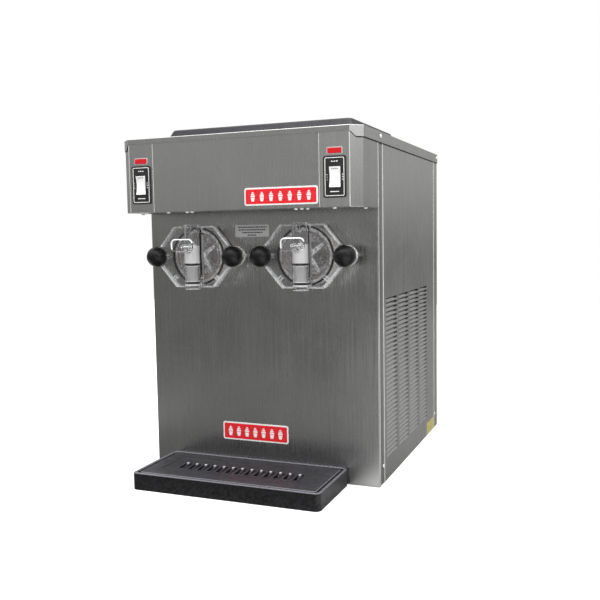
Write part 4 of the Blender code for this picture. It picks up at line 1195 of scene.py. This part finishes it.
def plunger_shape():
    r, low, high, g = 0.0131, 0.4430, 0.5355, 0.0026
    line = [(0, high), (r - 0.0030, high), (r, high - 0.0030)]
    line += [(r, SEAL_Z[0] + g), (0.0101, SEAL_Z[0] + g), (0.0101, SEAL_Z[0] - g)]
    line += [(r, SEAL_Z[0] - g), (r, 0.4865), (0.0125, 0.4856), (0.0125, 0.4549), (r, 0.4540)]
    line += [(r, SEAL_Z[1] + g), (0.0101, SEAL_Z[1] + g), (0.0101, SEAL_Z[1] - g), (r, SEAL_Z[1] - g)]
    line += [(r, low + 0.0008), (r - 0.0008, low), (0, low)]
    body = turned(line, 56, "z", (0, BARREL_Y, 0))
    z = PIVOT[1] - 0.0205 * math.sin(math.radians(20))
    minus(body, block((-0.0041, -0.0900, z - 0.0042), (0.0041, -0.0690, z + 0.0042)), prism([(-0.0765, z - 0.0048), (-0.0765, z + 0.0048), (-0.0900, z + 0.0085), (-0.0900, z - 0.0085)], -0.0041, 0.0041, "x"))
    return body


def ring(r, section, h, axis, at, steps=72, sides=16):
    profile = [(r + section * math.cos(2 * math.pi * k / sides), h + section * math.sin(2 * math.pi * k / sides)) for k in range(sides)]
    return turned(profile, steps, axis, at, closed=True)


def knob_shape():
    r, flat = 0.0230, 0.0152
    end = math.degrees(math.asin(flat / r))
    profile = [(0, r)] + arc(0, 0, r, 84, -end, 22)
    last = profile[-1]
    profile += [(last[0] - 0.0006, -flat), (0.0072, -flat), (0.0072, -flat - 0.0000), (0.0050, -flat), (0.0046, -flat + 0.0008), (0.0046, 0.0070), (0, 0.0070)]
    cleaned = [profile[0]]
    for p in profile[1:]:
        if (Vector(p) - Vector(cleaned[-1])).length > 1e-5:
            cleaned.append(p)
    return cleaned


def paint_edge_highlights(obj):
    """Gives the rim, the bevels and the rib tops of a clear moulding painted highlight materials, standing in for the
    light they gather.
    """
    for face in obj.data.polygons:
        face.material_index = 0
    for face in obj.data.polygons:
        n, c = face.normal, face.center
        v = c.z - CYL_Z
        radius = math.hypot(c.x, v)
        steep = max(abs(n.x), abs(n.y), abs(n.z))
        front = n.y < -0.9 and (c.y < -0.0580 or 0.0660 < radius < 0.0690)
        bevelled = steep < 0.95 and c.y < -0.0520
        ear = abs(n.y) < 0.8 and c.y > -0.0505 and min(abs(math.hypot(c.x - t * STUD_X, v) - 0.0222) for t in (-1, 1)) < 0.0009
        if ear:
            face.material_index = 2
            continue
        if abs(c.x) < 0.0200 or not (front or bevelled):
            continue
        # strong painted highlight on the lower-left rim and one spot, soft painted highlight on the other edges and the
        # ear rims
        low_left = -0.55 * c.x - 0.84 * v
        painted_spot = -0.098 < c.x < -0.078 and 0.005 < v < 0.035
        face.material_index = 1 if (low_left > 0.0270 and not front and c.y < -0.0565) or painted_spot else 2
    for face in obj.data.polygons:  # painted highlights on the barrel's top collar and bottom lip
        c = face.center
        if abs(c.x) < 0.0200 and c.y < -0.0500 and (c.z > 0.5740 or c.z < BARREL_LOW + 0.0016):
            face.material_index = 1 if c.z < 0.5 else 2 if face.normal.z > 0.3 else 0
    return obj


door = shade(paint_edge_highlights(door_shape()), 32)
handle = shade(handle_shape(), 40)
for face in handle.data.polygons:  # painted highlight where the paddle's top edge and its left corner catch the light
    c, n = face.center, face.normal
    face.material_index = 0
    if c.y < -0.1125 and n.y > -0.97 and (n.z > 0.12 or (n.x < -0.12 and c.z > PIVOT[1] - 0.004)):
        face.material_index = 1
plunger = shade(plunger_shape(), 40)
# the waist between the seals gets the darker copy: painted shade
for face in plunger.data.polygons:
    face.material_index = 1 if 0.4538 < face.center.z < 0.4868 else 0
for side, s in SIDES:
    cylinder_and_studs(side, s)
    dasher(side, s)
    by = (s * CYL_X, 0, 0)
    piece(copy(door, by), f"door_moulding_{side}", [CLEAR, RIM_HIGHLIGHT, RIM_HIGHLIGHT_SOFT], f"door_assembly_{side}", [f"door_{side}"])
    piece(copy(handle, by), f"handle_moulding_{side}", [CLEAR, RIM_HIGHLIGHT, RIM_HIGHLIGHT_SOFT], f"handle_body_{side}", [f"handle_{side}"])
    piece(copy(plunger, by), f"plunger_turned_{side}", [WHITE, WHITE_SHADED], f"plunger_body_{side}", [f"plunger_{side}"])
    for k, label in enumerate(("upper", "lower")):
        piece(shade(ring(0.0110, 0.0025, SEAL_Z[k], "z", (s * CYL_X, BARREL_Y, 0), 56, 14)), f"o_ring_{side}_{label}", RUBBER, f"plunger_body_{side}", [f"plunger_seal_{side}_{label}"])
    gasket = turned(fillet([(0.0654, 0.0417), (0.0654, 0.0383), (0.0610, 0.0383), (0.0610, 0.0417)], 0.0008, closed=True, steps=3), 96, "-y", (s * CYL_X, 0, CYL_Z), closed=True)
    piece(shade(gasket), f"gasket_ring_{side}", RUBBER, f"door_assembly_{side}", [f"door_gasket_{side}"])
    pin = turned(soften_rings([(0, 0.0120), (0.0020, 0.0120), (0.0020, -0.0120), (0, -0.0120)], [0, 0.0005, 0.0005, 0]), 24, "x", (s * CYL_X, PIVOT[0], PIVOT[1]))
    piece(shade(pin), f"hinge_pin_{side}", POLISH, f"door_assembly_{side}", [f"handle_pin_{side}"])
    for t in (-1, 1):
        label = "inner" if t * s < 0 else "outer"
        y = (span(f"knob_{side}_{label}")[0].y + 0.0230)
        knob = turned(knob_shape(), 48, "-y", (s * CYL_X + t * STUD_X, y, CYL_Z))
        piece(shade(knob, 40), f"ball_knob_{side}_{label}", KNOB, f"knob_body_{side}_{label}", [f"knob_{side}_{label}"])
for obj in (door, handle, plunger):
    bpy.data.objects.remove(obj, do_unlink=True)


# ==================================================== switches, lamps, badges, screws
def frame_ring(x0, z0, x1, z1, r, width, near, far, steps=6):
    """A rounded rectangular ring lying in the panel's plane, from near to far out of the panel."""
    bm = bmesh.new()
    a = rounded(x0, z0, x1, z1, r, steps)
    b = rounded(x0 + width, z0 + width, x1 - width, z1 - width, max(r - width, 0.0004), steps)
    rings = [[bm.verts.new((u, -d, v)) for u, v in line] for line, d in ((a, near), (a, far), (b, far), (b, near))]
    for i in range(4):
        p, q = rings[i], rings[(i + 1) % 4]
        for k in range(len(p)):
            m = (k + 1) % len(p)
            bm.faces.new((p[k], p[m], q[m], q[k]))
    return work(bm, "ring")


def chip(x0, z0, x1, z1, near, far, r=None):
    r = min(x1 - x0, z1 - z0) * 0.45 if r is None else r
    return prism(rounded(x0, z0, x1, z1, r, 3), near, far, "-y")


def switches(side, s):
    low, high = span(f"switch_plate_{side}")
    face = low.y
    plate_back = -(HEAD_FRONT - 0.0003)
    plate = prism(rounded(low.x, low.z, high.x, high.z, 0.0050, 8), plate_back, -face, "-y")
    bevel(plate, 0.0004, 2, 50)
    rock = span(f"rocker_{side}")
    x, z = (rock[0].x + rock[1].x) / 2, (rock[0].z + rock[1].z) / 2
    body = block((x - 0.0140, HEAD_FRONT - 0.0006, z - 0.0240), (x + 0.0140, HEAD_FRONT + 0.0217, z + 0.0240))
    plus(plate, body)
    minus(plate, block((x - 0.0122, HEAD_FRONT - 0.02, z - 0.0214), (x + 0.0122, HEAD_FRONT + 0.0187, z + 0.0214)))
    piece(shade(plate, 40), f"switch_plate_film_{side}", PLATE, "cabinet", [f"switch_plate_{side}"])
    # bezel standing just proud around the rocker
    bezel = frame_ring(x - 0.0138, z - 0.0232, x + 0.0138, z + 0.0232, 0.0016, 0.0016, -face - 0.0001, -face + 0.0010)
    bevel(bezel, 0.0003, 2, 50)
    piece(shade(bezel), f"rocker_bezel_{side}", PLATE, "cabinet", ())

    cx = (low.x + high.x) / 2
    out = -face
    line = frame_ring(low.x + 0.0036, low.z + 0.0034, high.x - 0.0036, high.z - 0.0034, 0.0030, 0.0014, out - 0.0001, out + 0.00016)
    marks = []
    for k in range(3):  # generic three-dash mark above, and one longer dash below
        marks.append(chip(cx - 0.0070 + 0.0052 * k, 0.6968, cx - 0.0070 + 0.0052 * k + 0.0036, 0.6990, out - 0.0001, out + 0.00016))
    marks.append(chip(cx - 0.0095, 0.6372, cx + 0.0095, 0.6390, out - 0.0001, out + 0.00016))
    for t in (-1, 1):
        for k in range(3):
            marks.append(chip(x + t * 0.0160 - 0.0010, z - 0.0062 + 0.0050 * k, x + t * 0.0166 + 0.0010, z - 0.0042 + 0.0050 * k, out - 0.0001, out + 0.00016))
    gather(line, *marks)
    piece(shade(line, 30), f"switch_print_{side}", WHITE_INK, "cabinet", ())

    # rocker: a concave face between two proud ends
    profile = [(-0.0008 - 0.0028 * (k / 10) ** 2 * (1 if True else 0), 0.0203 * k / 10) for k in range(-10, 11)]
    outline = [(y, zz) for y, zz in profile] + [(0.0006, 0.0205), (0.0075, 0.0115), (0.0075, -0.0115), (0.0006, -0.0205)]
    pivot_y = HEAD_FRONT - 0.0010
    button = prism([(pivot_y + u, z + v) for u, v in outline][::-1], x - 0.0118, x + 0.0118, "x")
    bevel(button, 0.0007, 3, 40)
    piece(shade(button, 40), f"rocker_button_{side}", ROCKER, f"rocker_body_{side}", [f"rocker_{side}"])
    ink = []
    for t in (-1, 1):
        for k in range(4):
            zz = z + t * 0.0166
            depth = -(pivot_y - 0.0008 - 0.0028 * (0.0166 / 0.0203) ** 2)
            ink.append(chip(x - 0.0066 + 0.0036 * k, zz - 0.0009, x - 0.0066 + 0.0036 * k + 0.0024, zz + 0.0009, depth - 0.0006, depth + 0.00012, 0.0004))
    gather(ink[0], *ink[1:])
    piece(shade(ink[0], 30), f"rocker_marks_{side}", DARK_INK, f"rocker_body_{side}", ())

    low, high = span(f"indicator_{side}")
    glass = prism(rounded(low.x, low.z, high.x, high.z, 0.0012, 4), -high.y, -low.y, "-y")
    bevel(glass, 0.0009, 3, 50)
    piece(shade(glass, 40), f"lamp_lens_{side}", LENS, "cabinet", [f"indicator_{side}"])
    surround = frame_ring(low.x - 0.0017, low.z - 0.0017, high.x + 0.0017, high.z + 0.0017, 0.0022, 0.0016, -HEAD_FRONT + 0.0001, -HEAD_FRONT + 0.0014)
    bevel(surround, 0.0003, 2, 50)
    piece(shade(surround, 40), f"lamp_bezel_{side}", BEZEL, "cabinet", ())


def badge(name, x0, z0, x1, z1, base):
    """A plain red plate with a white border and a row of generic soft-serve swirls on cups."""
    back = prism(rounded(x0, z0, x1, z1, 0.0050, 8), base, base + 0.0009, "-y")
    bevel(back, 0.0003, 2, 50)
    piece(shade(back), f"{name}_border", WHITE_INK, "cabinet", ())
    g = 0.0032
    field = prism(rounded(x0 + g, z0 + g, x1 - g, z1 - g, 0.0030, 8), base + 0.0008, base + 0.0012, "-y")
    bevel(field, 0.00015, 1, 50)
    piece(shade(field), f"{name}_field", RED_INK, "cabinet", ())
    near, far = base + 0.0011, base + 0.0015
    h = z1 - z0
    cz = (z0 + z1) / 2
    shapes = []
    count = 7
    for k in range(count):
        cx = (x0 + x1) / 2 + (k - (count - 1) / 2) * (x1 - x0 - 0.018) / count
        w = h * 0.135
        foot, mouth = cz - h * 0.27, cz - h * 0.05
        shapes.append(prism(fillet([(cx - w * 0.55, foot), (cx + w * 0.55, foot), (cx + w * 0.90, mouth), (cx - w * 0.90, mouth)], 0.0008, closed=True, steps=3), near, far, "-y"))
        for wide, low, high in ((1.0, -0.02, 0.075), (0.74, 0.095, 0.170), (0.42, 0.190, 0.255)):
            shapes.append(prism(rounded(cx - w * wide, cz + h * low, cx + w * wide, cz + h * high, h * (high - low) * 0.48, 5), near, far, "-y"))
    gather(shapes[0], *shapes[1:])
    piece(shade(shapes[0], 30), f"{name}_print", WHITE_INK, "cabinet", ())


def label():
    plate = prism(rounded(-0.0570, 0.5500, 0.0265, 0.5770, 0.0010, 4), 0.0, 0.00035, "-y")
    piece(shade(plate, 30), "instruction_label", SILVER_INK, "cabinet", ())
    rng = random.Random(7)
    bars = []
    for row, (x0, x1) in enumerate(((-0.0500, 0.0215), (-0.0490, 0.0205), (-0.0400, 0.0110), (-0.0260, -0.0040))):
        z = 0.5718 - 0.0060 * row
        x = x0
        while x < x1 - 0.001:
            w = min(rng.uniform(0.0035, 0.0085), x1 - x)
            bars.append(chip(x, z - 0.0013, x + w, z + 0.0013, 0.00032, 0.00045, 0.0004))
            x += w + 0.0013
    gather(bars[0], *bars[1:])
    piece(shade(bars[0], 30), "instruction_label_print", DARK_INK, "cabinet", ())


def on_side(x, outline, thick):
    """A thin plate lying on the right side face."""
    return prism(outline, x, x + thick, "x")


def sticker():
    plate = on_side(HALF, rounded(0.4610, 0.0035, 0.5450, 0.0340, 0.0015, 4), 0.0003)
    piece(shade(plate, 30), "side_sticker", YELLOW_INK, "cabinet", ())
    bars = []
    for row in range(4):
        z = 0.0285 - 0.0062 * row
        bars.append(on_side(HALF + 0.0002, rounded(0.4670, z - 0.0009, 0.5390 - 0.014 * (row % 2), z + 0.0009, 0.0004, 2), 0.00022))
    gather(bars[0], *bars[1:])
    faint = printed("sticker_ink", (0.42, 0.37, 0.12), 0.55, 0.2)
    piece(shade(bars[0], 30), "side_sticker_print", faint, "cabinet", ())


def screw_head(axis, at, r=0.0042, h=0.0020, turn=0.4, slot_depth=0.0009):
    """A pan head with a cross recess, standing h out along its axis."""
    profile = [(0, h)] + [(r * math.sin(math.radians(a)), h * (0.45 + 0.55 * math.cos(math.radians(a)))) for a in (20, 40, 60, 78, 90)] + [(r, 0), (0, 0)]
    head = turned(profile, 28, axis, (0, 0, 0))
    for k in (0, 1):
        a = turn + math.pi / 2 * k
        c, q = math.cos(a), math.sin(a)
        w, l = 0.00042, r * 0.62
        outline = [(u * c - v * q, u * q + v * c) for u, v in ((-l, -w), (l, -w), (l, w), (-l, w))]
        minus(head, prism(outline, h - slot_depth, h + 0.002, axis))
    return moved(head, at)


def down_head(at, r=0.0042, h=0.0034):
    head = turned([(0, -h)] + [(r * math.sin(math.radians(a)), -h * (0.3 + 0.7 * math.cos(math.radians(a)))) for a in (20, 40, 60, 78, 90)] + [(r, 0.0), (0, 0.0)], 24, "z", at)
    return head


def screws():
    heads = []
    for k, (y, z) in enumerate(((0.0210, 0.7590), (0.5870, 0.7590), (0.3050, 0.7590))):
        if k == 2:
            continue
        for _, s in SIDES:
            head = screw_head("x", (HALF + LID_OVER, y, z), turn=0.3 + k)
            heads.append(head if s > 0 else mirrored(head))
    for k, (y, z) in enumerate(((0.0300, 0.0410), (0.5600, 0.0400))):
        for _, s in SIDES:
            head = screw_head("x", (HALF - 0.0005, y, z), turn=0.9 + k)
            heads.append(head if s > 0 else mirrored(head))
    gather(heads[0], *heads[1:])
    piece(shade(heads[0], 40), "side_screws", SCREW_LIT, "cabinet", ())
    heads = [down_head((x, -0.1120, HEAD_LOW)) for x in (-0.232, -0.163, -0.116, -0.104, 0.138, 0.151, 0.164, 0.222)]
    heads += [down_head((0.2680, -0.0500, HEAD_LOW)), down_head((-0.2680, -0.0500, HEAD_LOW))]
    gather(heads[0], *heads[1:])
    piece(shade(heads[0], 40), "header_screws", SCREW_LIT, "cabinet", ())
    heads = []
    for x in (-0.255, 0.0, 0.255):
        for z in (0.030, 0.400, 0.735):
            head = screw_head("-y", (x, span("rear_panel")[1].y, z), turn=0.5 + x * 3)
            head.data.transform(Matrix.Translation((x, span("rear_panel")[1].y, z)) @ Matrix.Rotation(math.pi, 4, "Z") @ Matrix.Translation((-x, -span("rear_panel")[1].y, -z)))
            heads.append(head)
    gather(heads[0], *heads[1:])
    piece(shade(heads[0], 40), "rear_screws", SCREW_LIT, "cabinet", ())


for side, s in SIDES:
    switches(side, s)
badge("upper_badge", 0.0250, 0.6150, 0.1890, 0.6520, -HEAD_FRONT)
badge("lower_badge", -0.1000, 0.0790, 0.0650, 0.1210, 0.0)
label()
sticker()
screws()

# ------------------------------------------------ CAD nodes that stay, with new finishes
for name, material in {
    "chassis": ZINC, "condenser": ZINC, "control_box": ZINC, "compressor": MOTOR, "fan_motor": MOTOR, "condenser_fan": MOTOR,
    "gear_motor_left": MOTOR, "gear_motor_right": MOTOR, "hopper_left": INNER, "hopper_right": INNER, "feed_tube_left": POLISH,
    "feed_tube_right": POLISH, "power_cord": CORD, "foot_front_left": RUBBER, "foot_front_right": RUBBER, "foot_rear_left": RUBBER, "foot_rear_right": RUBBER,
}.items():
    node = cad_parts[name]
    node.data.materials.clear()
    node.data.materials.append(material)
    weld = node.modifiers.new("weld", "WELD")
    weld.merge_threshold = 0.00002
    if name not in ("power_cord", "condenser_fan"):
        edge = node.modifiers.new("edge", "BEVEL")
        edge.width = 0.0006
        edge.segments = 2
        edge.limit_method = "ANGLE"
        edge.angle_limit = math.radians(40)

# ============================================================ camera, light and floor
camera = bpy.data.objects.new("camera", bpy.data.cameras.new("camera"))
bpy.context.scene.collection.objects.link(camera)
bpy.context.scene.camera = camera
camera.data.lens = 46.755
camera.data.sensor_width = 36
camera.data.clip_start = 0.02
camera.data.clip_end = 60
a, e, r = math.radians(21.8907), math.radians(4.9253), math.radians(-0.9638)
ahead = Vector((-math.sin(a) * math.cos(e), math.cos(a) * math.cos(e), -math.sin(e)))
right = Vector((math.cos(a), math.sin(a), 0))
up = right.cross(ahead)
right, up = right * math.cos(r) + up * math.sin(r), up * math.cos(r) - right * math.sin(r)
turn = Matrix((right, up, -ahead)).transposed().to_4x4()
camera.matrix_world = Matrix.Translation((0.7412, -1.5992 + FY, 0.5572)) @ turn

scene = bpy.context.scene
scene.view_settings.view_transform = "Standard"
scene.view_settings.look = "None"

world = bpy.data.worlds.new("studio")
scene.world = world
world.use_nodes = True
tree = world.node_tree
for old in list(tree.nodes):
    tree.nodes.remove(old)


def wnode(kind, **values):
    made = tree.nodes.new(kind)
    for key, value in values.items():
        setattr(made, key, value)
    return made


where = wnode("ShaderNodeTexCoord")
split = wnode("ShaderNodeSeparateXYZ")
tree.links.new(where.outputs["Generated"], split.inputs[0])
ramp = wnode("ShaderNodeValToRGB")
tree.links.new(split.outputs["Z"], ramp.inputs[0])
shift = wnode("ShaderNodeMapRange")
shift.inputs["From Min"].default_value = -1
shift.inputs["From Max"].default_value = 1
tree.links.new(split.outputs["Z"], shift.inputs["Value"])
tree.links.new(shift.outputs[0], ramp.inputs[0])
# brightness of the studio by the sine of the height angle
STOPS = ((-1.0, 0.42), (-0.30, 0.30), (-0.16, 0.22), (-0.03, 0.18), (0.012, 0.27), (0.07, 0.42), (0.14, 0.37), (0.24, 0.36), (0.42, 0.55), (0.62, 1.5), (1.0, 2.0))
elements = ramp.color_ramp.elements
while len(elements) > 1:
    elements.remove(elements[-1])
for i, (height, level) in enumerate(STOPS):
    place = (height + 1) / 2
    stop = elements[0] if i == 0 else elements.new(place)
    stop.position = place
    stop.color = (level / 2, level / 2, level / 2 * 0.985, 1)
around = wnode("ShaderNodeBackground")
around.inputs["Strength"].default_value = 2.0
# soft boxes: direction, angular radius in degrees, strength
GLOWS = (
    ((0.88, -0.42, 0.395), 21, 1.16),
    ((0.42, 0.88, 0.30), 11, 0.8),
    ((0.36, -0.93, 0.10), 9, 1.6),
)
total = ramp.outputs["Color"]
for direction, radius, strength in GLOWS:
    near_it = wnode("ShaderNodeVectorMath", operation="DOT_PRODUCT")
    near_it.inputs[1].default_value = Vector(direction).normalized()
    tree.links.new(where.outputs["Generated"], near_it.inputs[0])
    fall = wnode("ShaderNodeMapRange", interpolation_type="SMOOTHSTEP")
    fall.inputs["From Min"].default_value = math.cos(math.radians(radius))
    fall.inputs["From Max"].default_value = math.cos(math.radians(radius * 0.35))
    fall.inputs["To Max"].default_value = strength / 2
    tree.links.new(near_it.outputs["Value"], fall.inputs["Value"])
    summed = wnode("ShaderNodeVectorMath", operation="ADD")
    tree.links.new(total, summed.inputs[0])
    tree.links.new(fall.outputs[0], summed.inputs[1])
    total = summed.outputs[0]
tree.links.new(total, around.inputs["Color"])
plain = wnode("ShaderNodeBackground")
plain.inputs["Color"].default_value = (1, 1, 1, 1)
plain.inputs["Strength"].default_value = 1.0
path = wnode("ShaderNodeLightPath")
choose = wnode("ShaderNodeMixShader")
out = wnode("ShaderNodeOutputWorld")
tree.links.new(path.outputs["Is Camera Ray"], choose.inputs[0])
tree.links.new(around.outputs[0], choose.inputs[1])
tree.links.new(plain.outputs[0], choose.inputs[2])
tree.links.new(choose.outputs[0], out.inputs["Surface"])


def lamp(name, at, target, size, power, colour=(1, 1, 1), glossy=True, size_y=None):
    data = bpy.data.lights.new(name, "AREA")
    data.energy = power
    data.color = colour
    data.size = size
    if size_y:
        data.shape = "RECTANGLE"
        data.size_y = size_y
    obj = bpy.data.objects.new(name, data)
    scene.collection.objects.link(obj)
    obj.location = at
    obj.rotation_mode = "QUATERNION"
    obj.rotation_quaternion = (Vector(target) - Vector(at)).to_track_quat("-Z", "Y")
    obj.visible_glossy = glossy
    obj.visible_camera = False
    return obj


lamp("overhead", (0.2, -0.6, 2.6), (0, 0, 0.4), 2.4, 42, size_y=1.8)
lamp("left_front", (-1.9, -2.2, 1.7), (0, 0, 0.4), 1.2, 26, glossy=False)
lamp("right_front", (1.9, -1.6, 1.5), (0, 0, 0.4), 1.0, 16, glossy=False)

floor_mesh = bpy.data.meshes.new("floor")
bm = bmesh.new()
bmesh.ops.create_grid(bm, x_segments=1, y_segments=1, size=4.0)
bm.to_mesh(floor_mesh)
bm.free()
floor = bpy.data.objects.new("floor", floor_mesh)
scene.collection.objects.link(floor)
floor.location = (0, 0, -0.0002)
paper = Look("paper_floor", (0.86, 0.86, 0.86), 0.6)
direct = paper.node("ShaderNodeLightPath")
glow = paper.node("ShaderNodeEmission")
glow.inputs["Color"].default_value = (1, 1, 1, 1)
glow.inputs["Strength"].default_value = 0.55
lit = paper.node("ShaderNodeAddShader")
paper.put(paper.shader.outputs[0], lit.inputs[0])
paper.put(glow.outputs[0], lit.inputs[1])
# seen in the steel, the floor is a dim grey sheet: darker close in front, lighter behind and to the left
place_on = paper.node("ShaderNodeNewGeometry")
axes = paper.node("ShaderNodeSeparateXYZ")
paper.put(place_on.outputs["Position"], axes.inputs[0])
front_level = paper.node("ShaderNodeValToRGB")
paper.put(paper.math("MULTIPLY", paper.math("SUBTRACT", FY, axes.outputs["Y"]), 0.2), front_level.inputs[0])
FLOOR = ((0.0, 0.20), (0.045, 0.21), (0.09, 0.25), (0.16, 0.25), (0.28, 0.205), (0.50, 0.18), (1.0, 0.17))
steps = front_level.color_ramp.elements
while len(steps) > 1:
    steps.remove(steps[-1])
for i, (far_out, level) in enumerate(FLOOR):
    stop = steps[0] if i == 0 else steps.new(far_out)
    stop.position = far_out
    stop.color = (level, level, level * 0.985, 1)
behind = paper.between(paper.math("SUBTRACT", axes.outputs["Y"], FY), -0.10, 0.45)
level = paper.mix(behind, front_level.outputs[0], (0.32, 0.32, 0.315))
left_edge = paper.math("MULTIPLY", paper.between(axes.outputs["X"], -0.52, -0.75), paper.between(axes.outputs["X"], -2.2, -1.6))
patch = paper.math("MULTIPLY", left_edge, paper.between(paper.math("SUBTRACT", axes.outputs["Y"], FY), -0.55, -0.30))
level = paper.mix(patch, level, (1.1, 1.1, 1.1))
nearby = paper.math("MULTIPLY", paper.between(axes.outputs["X"], 0.200, 0.260), paper.between(paper.math("SUBTRACT", axes.outputs["Y"], FY), 0.02, -0.02))
level = paper.mix(nearby, level, (1.05, 1.05, 1.05))
bright = paper.math("MULTIPLY", paper.between(axes.outputs["X"], 0.38, 0.60), paper.between(paper.math("SUBTRACT", axes.outputs["Y"], FY), -0.28, -0.55))
level = paper.mix(bright, level, (1.5, 1.5, 1.5))
dim = paper.node("ShaderNodeEmission")
paper.put(level, dim.inputs["Color"])
pick = paper.node("ShaderNodeMixShader")
paper.put(direct.outputs["Is Camera Ray"], pick.inputs[0])
paper.put(dim.outputs[0], pick.inputs[1])
paper.put(lit.outputs[0], pick.inputs[2])
paper.put(pick.outputs[0], paper.out.inputs["Surface"])
floor.data.materials.append(paper.material)

bpy.data.collections.remove(bench)
bpy.context.view_layer.update()
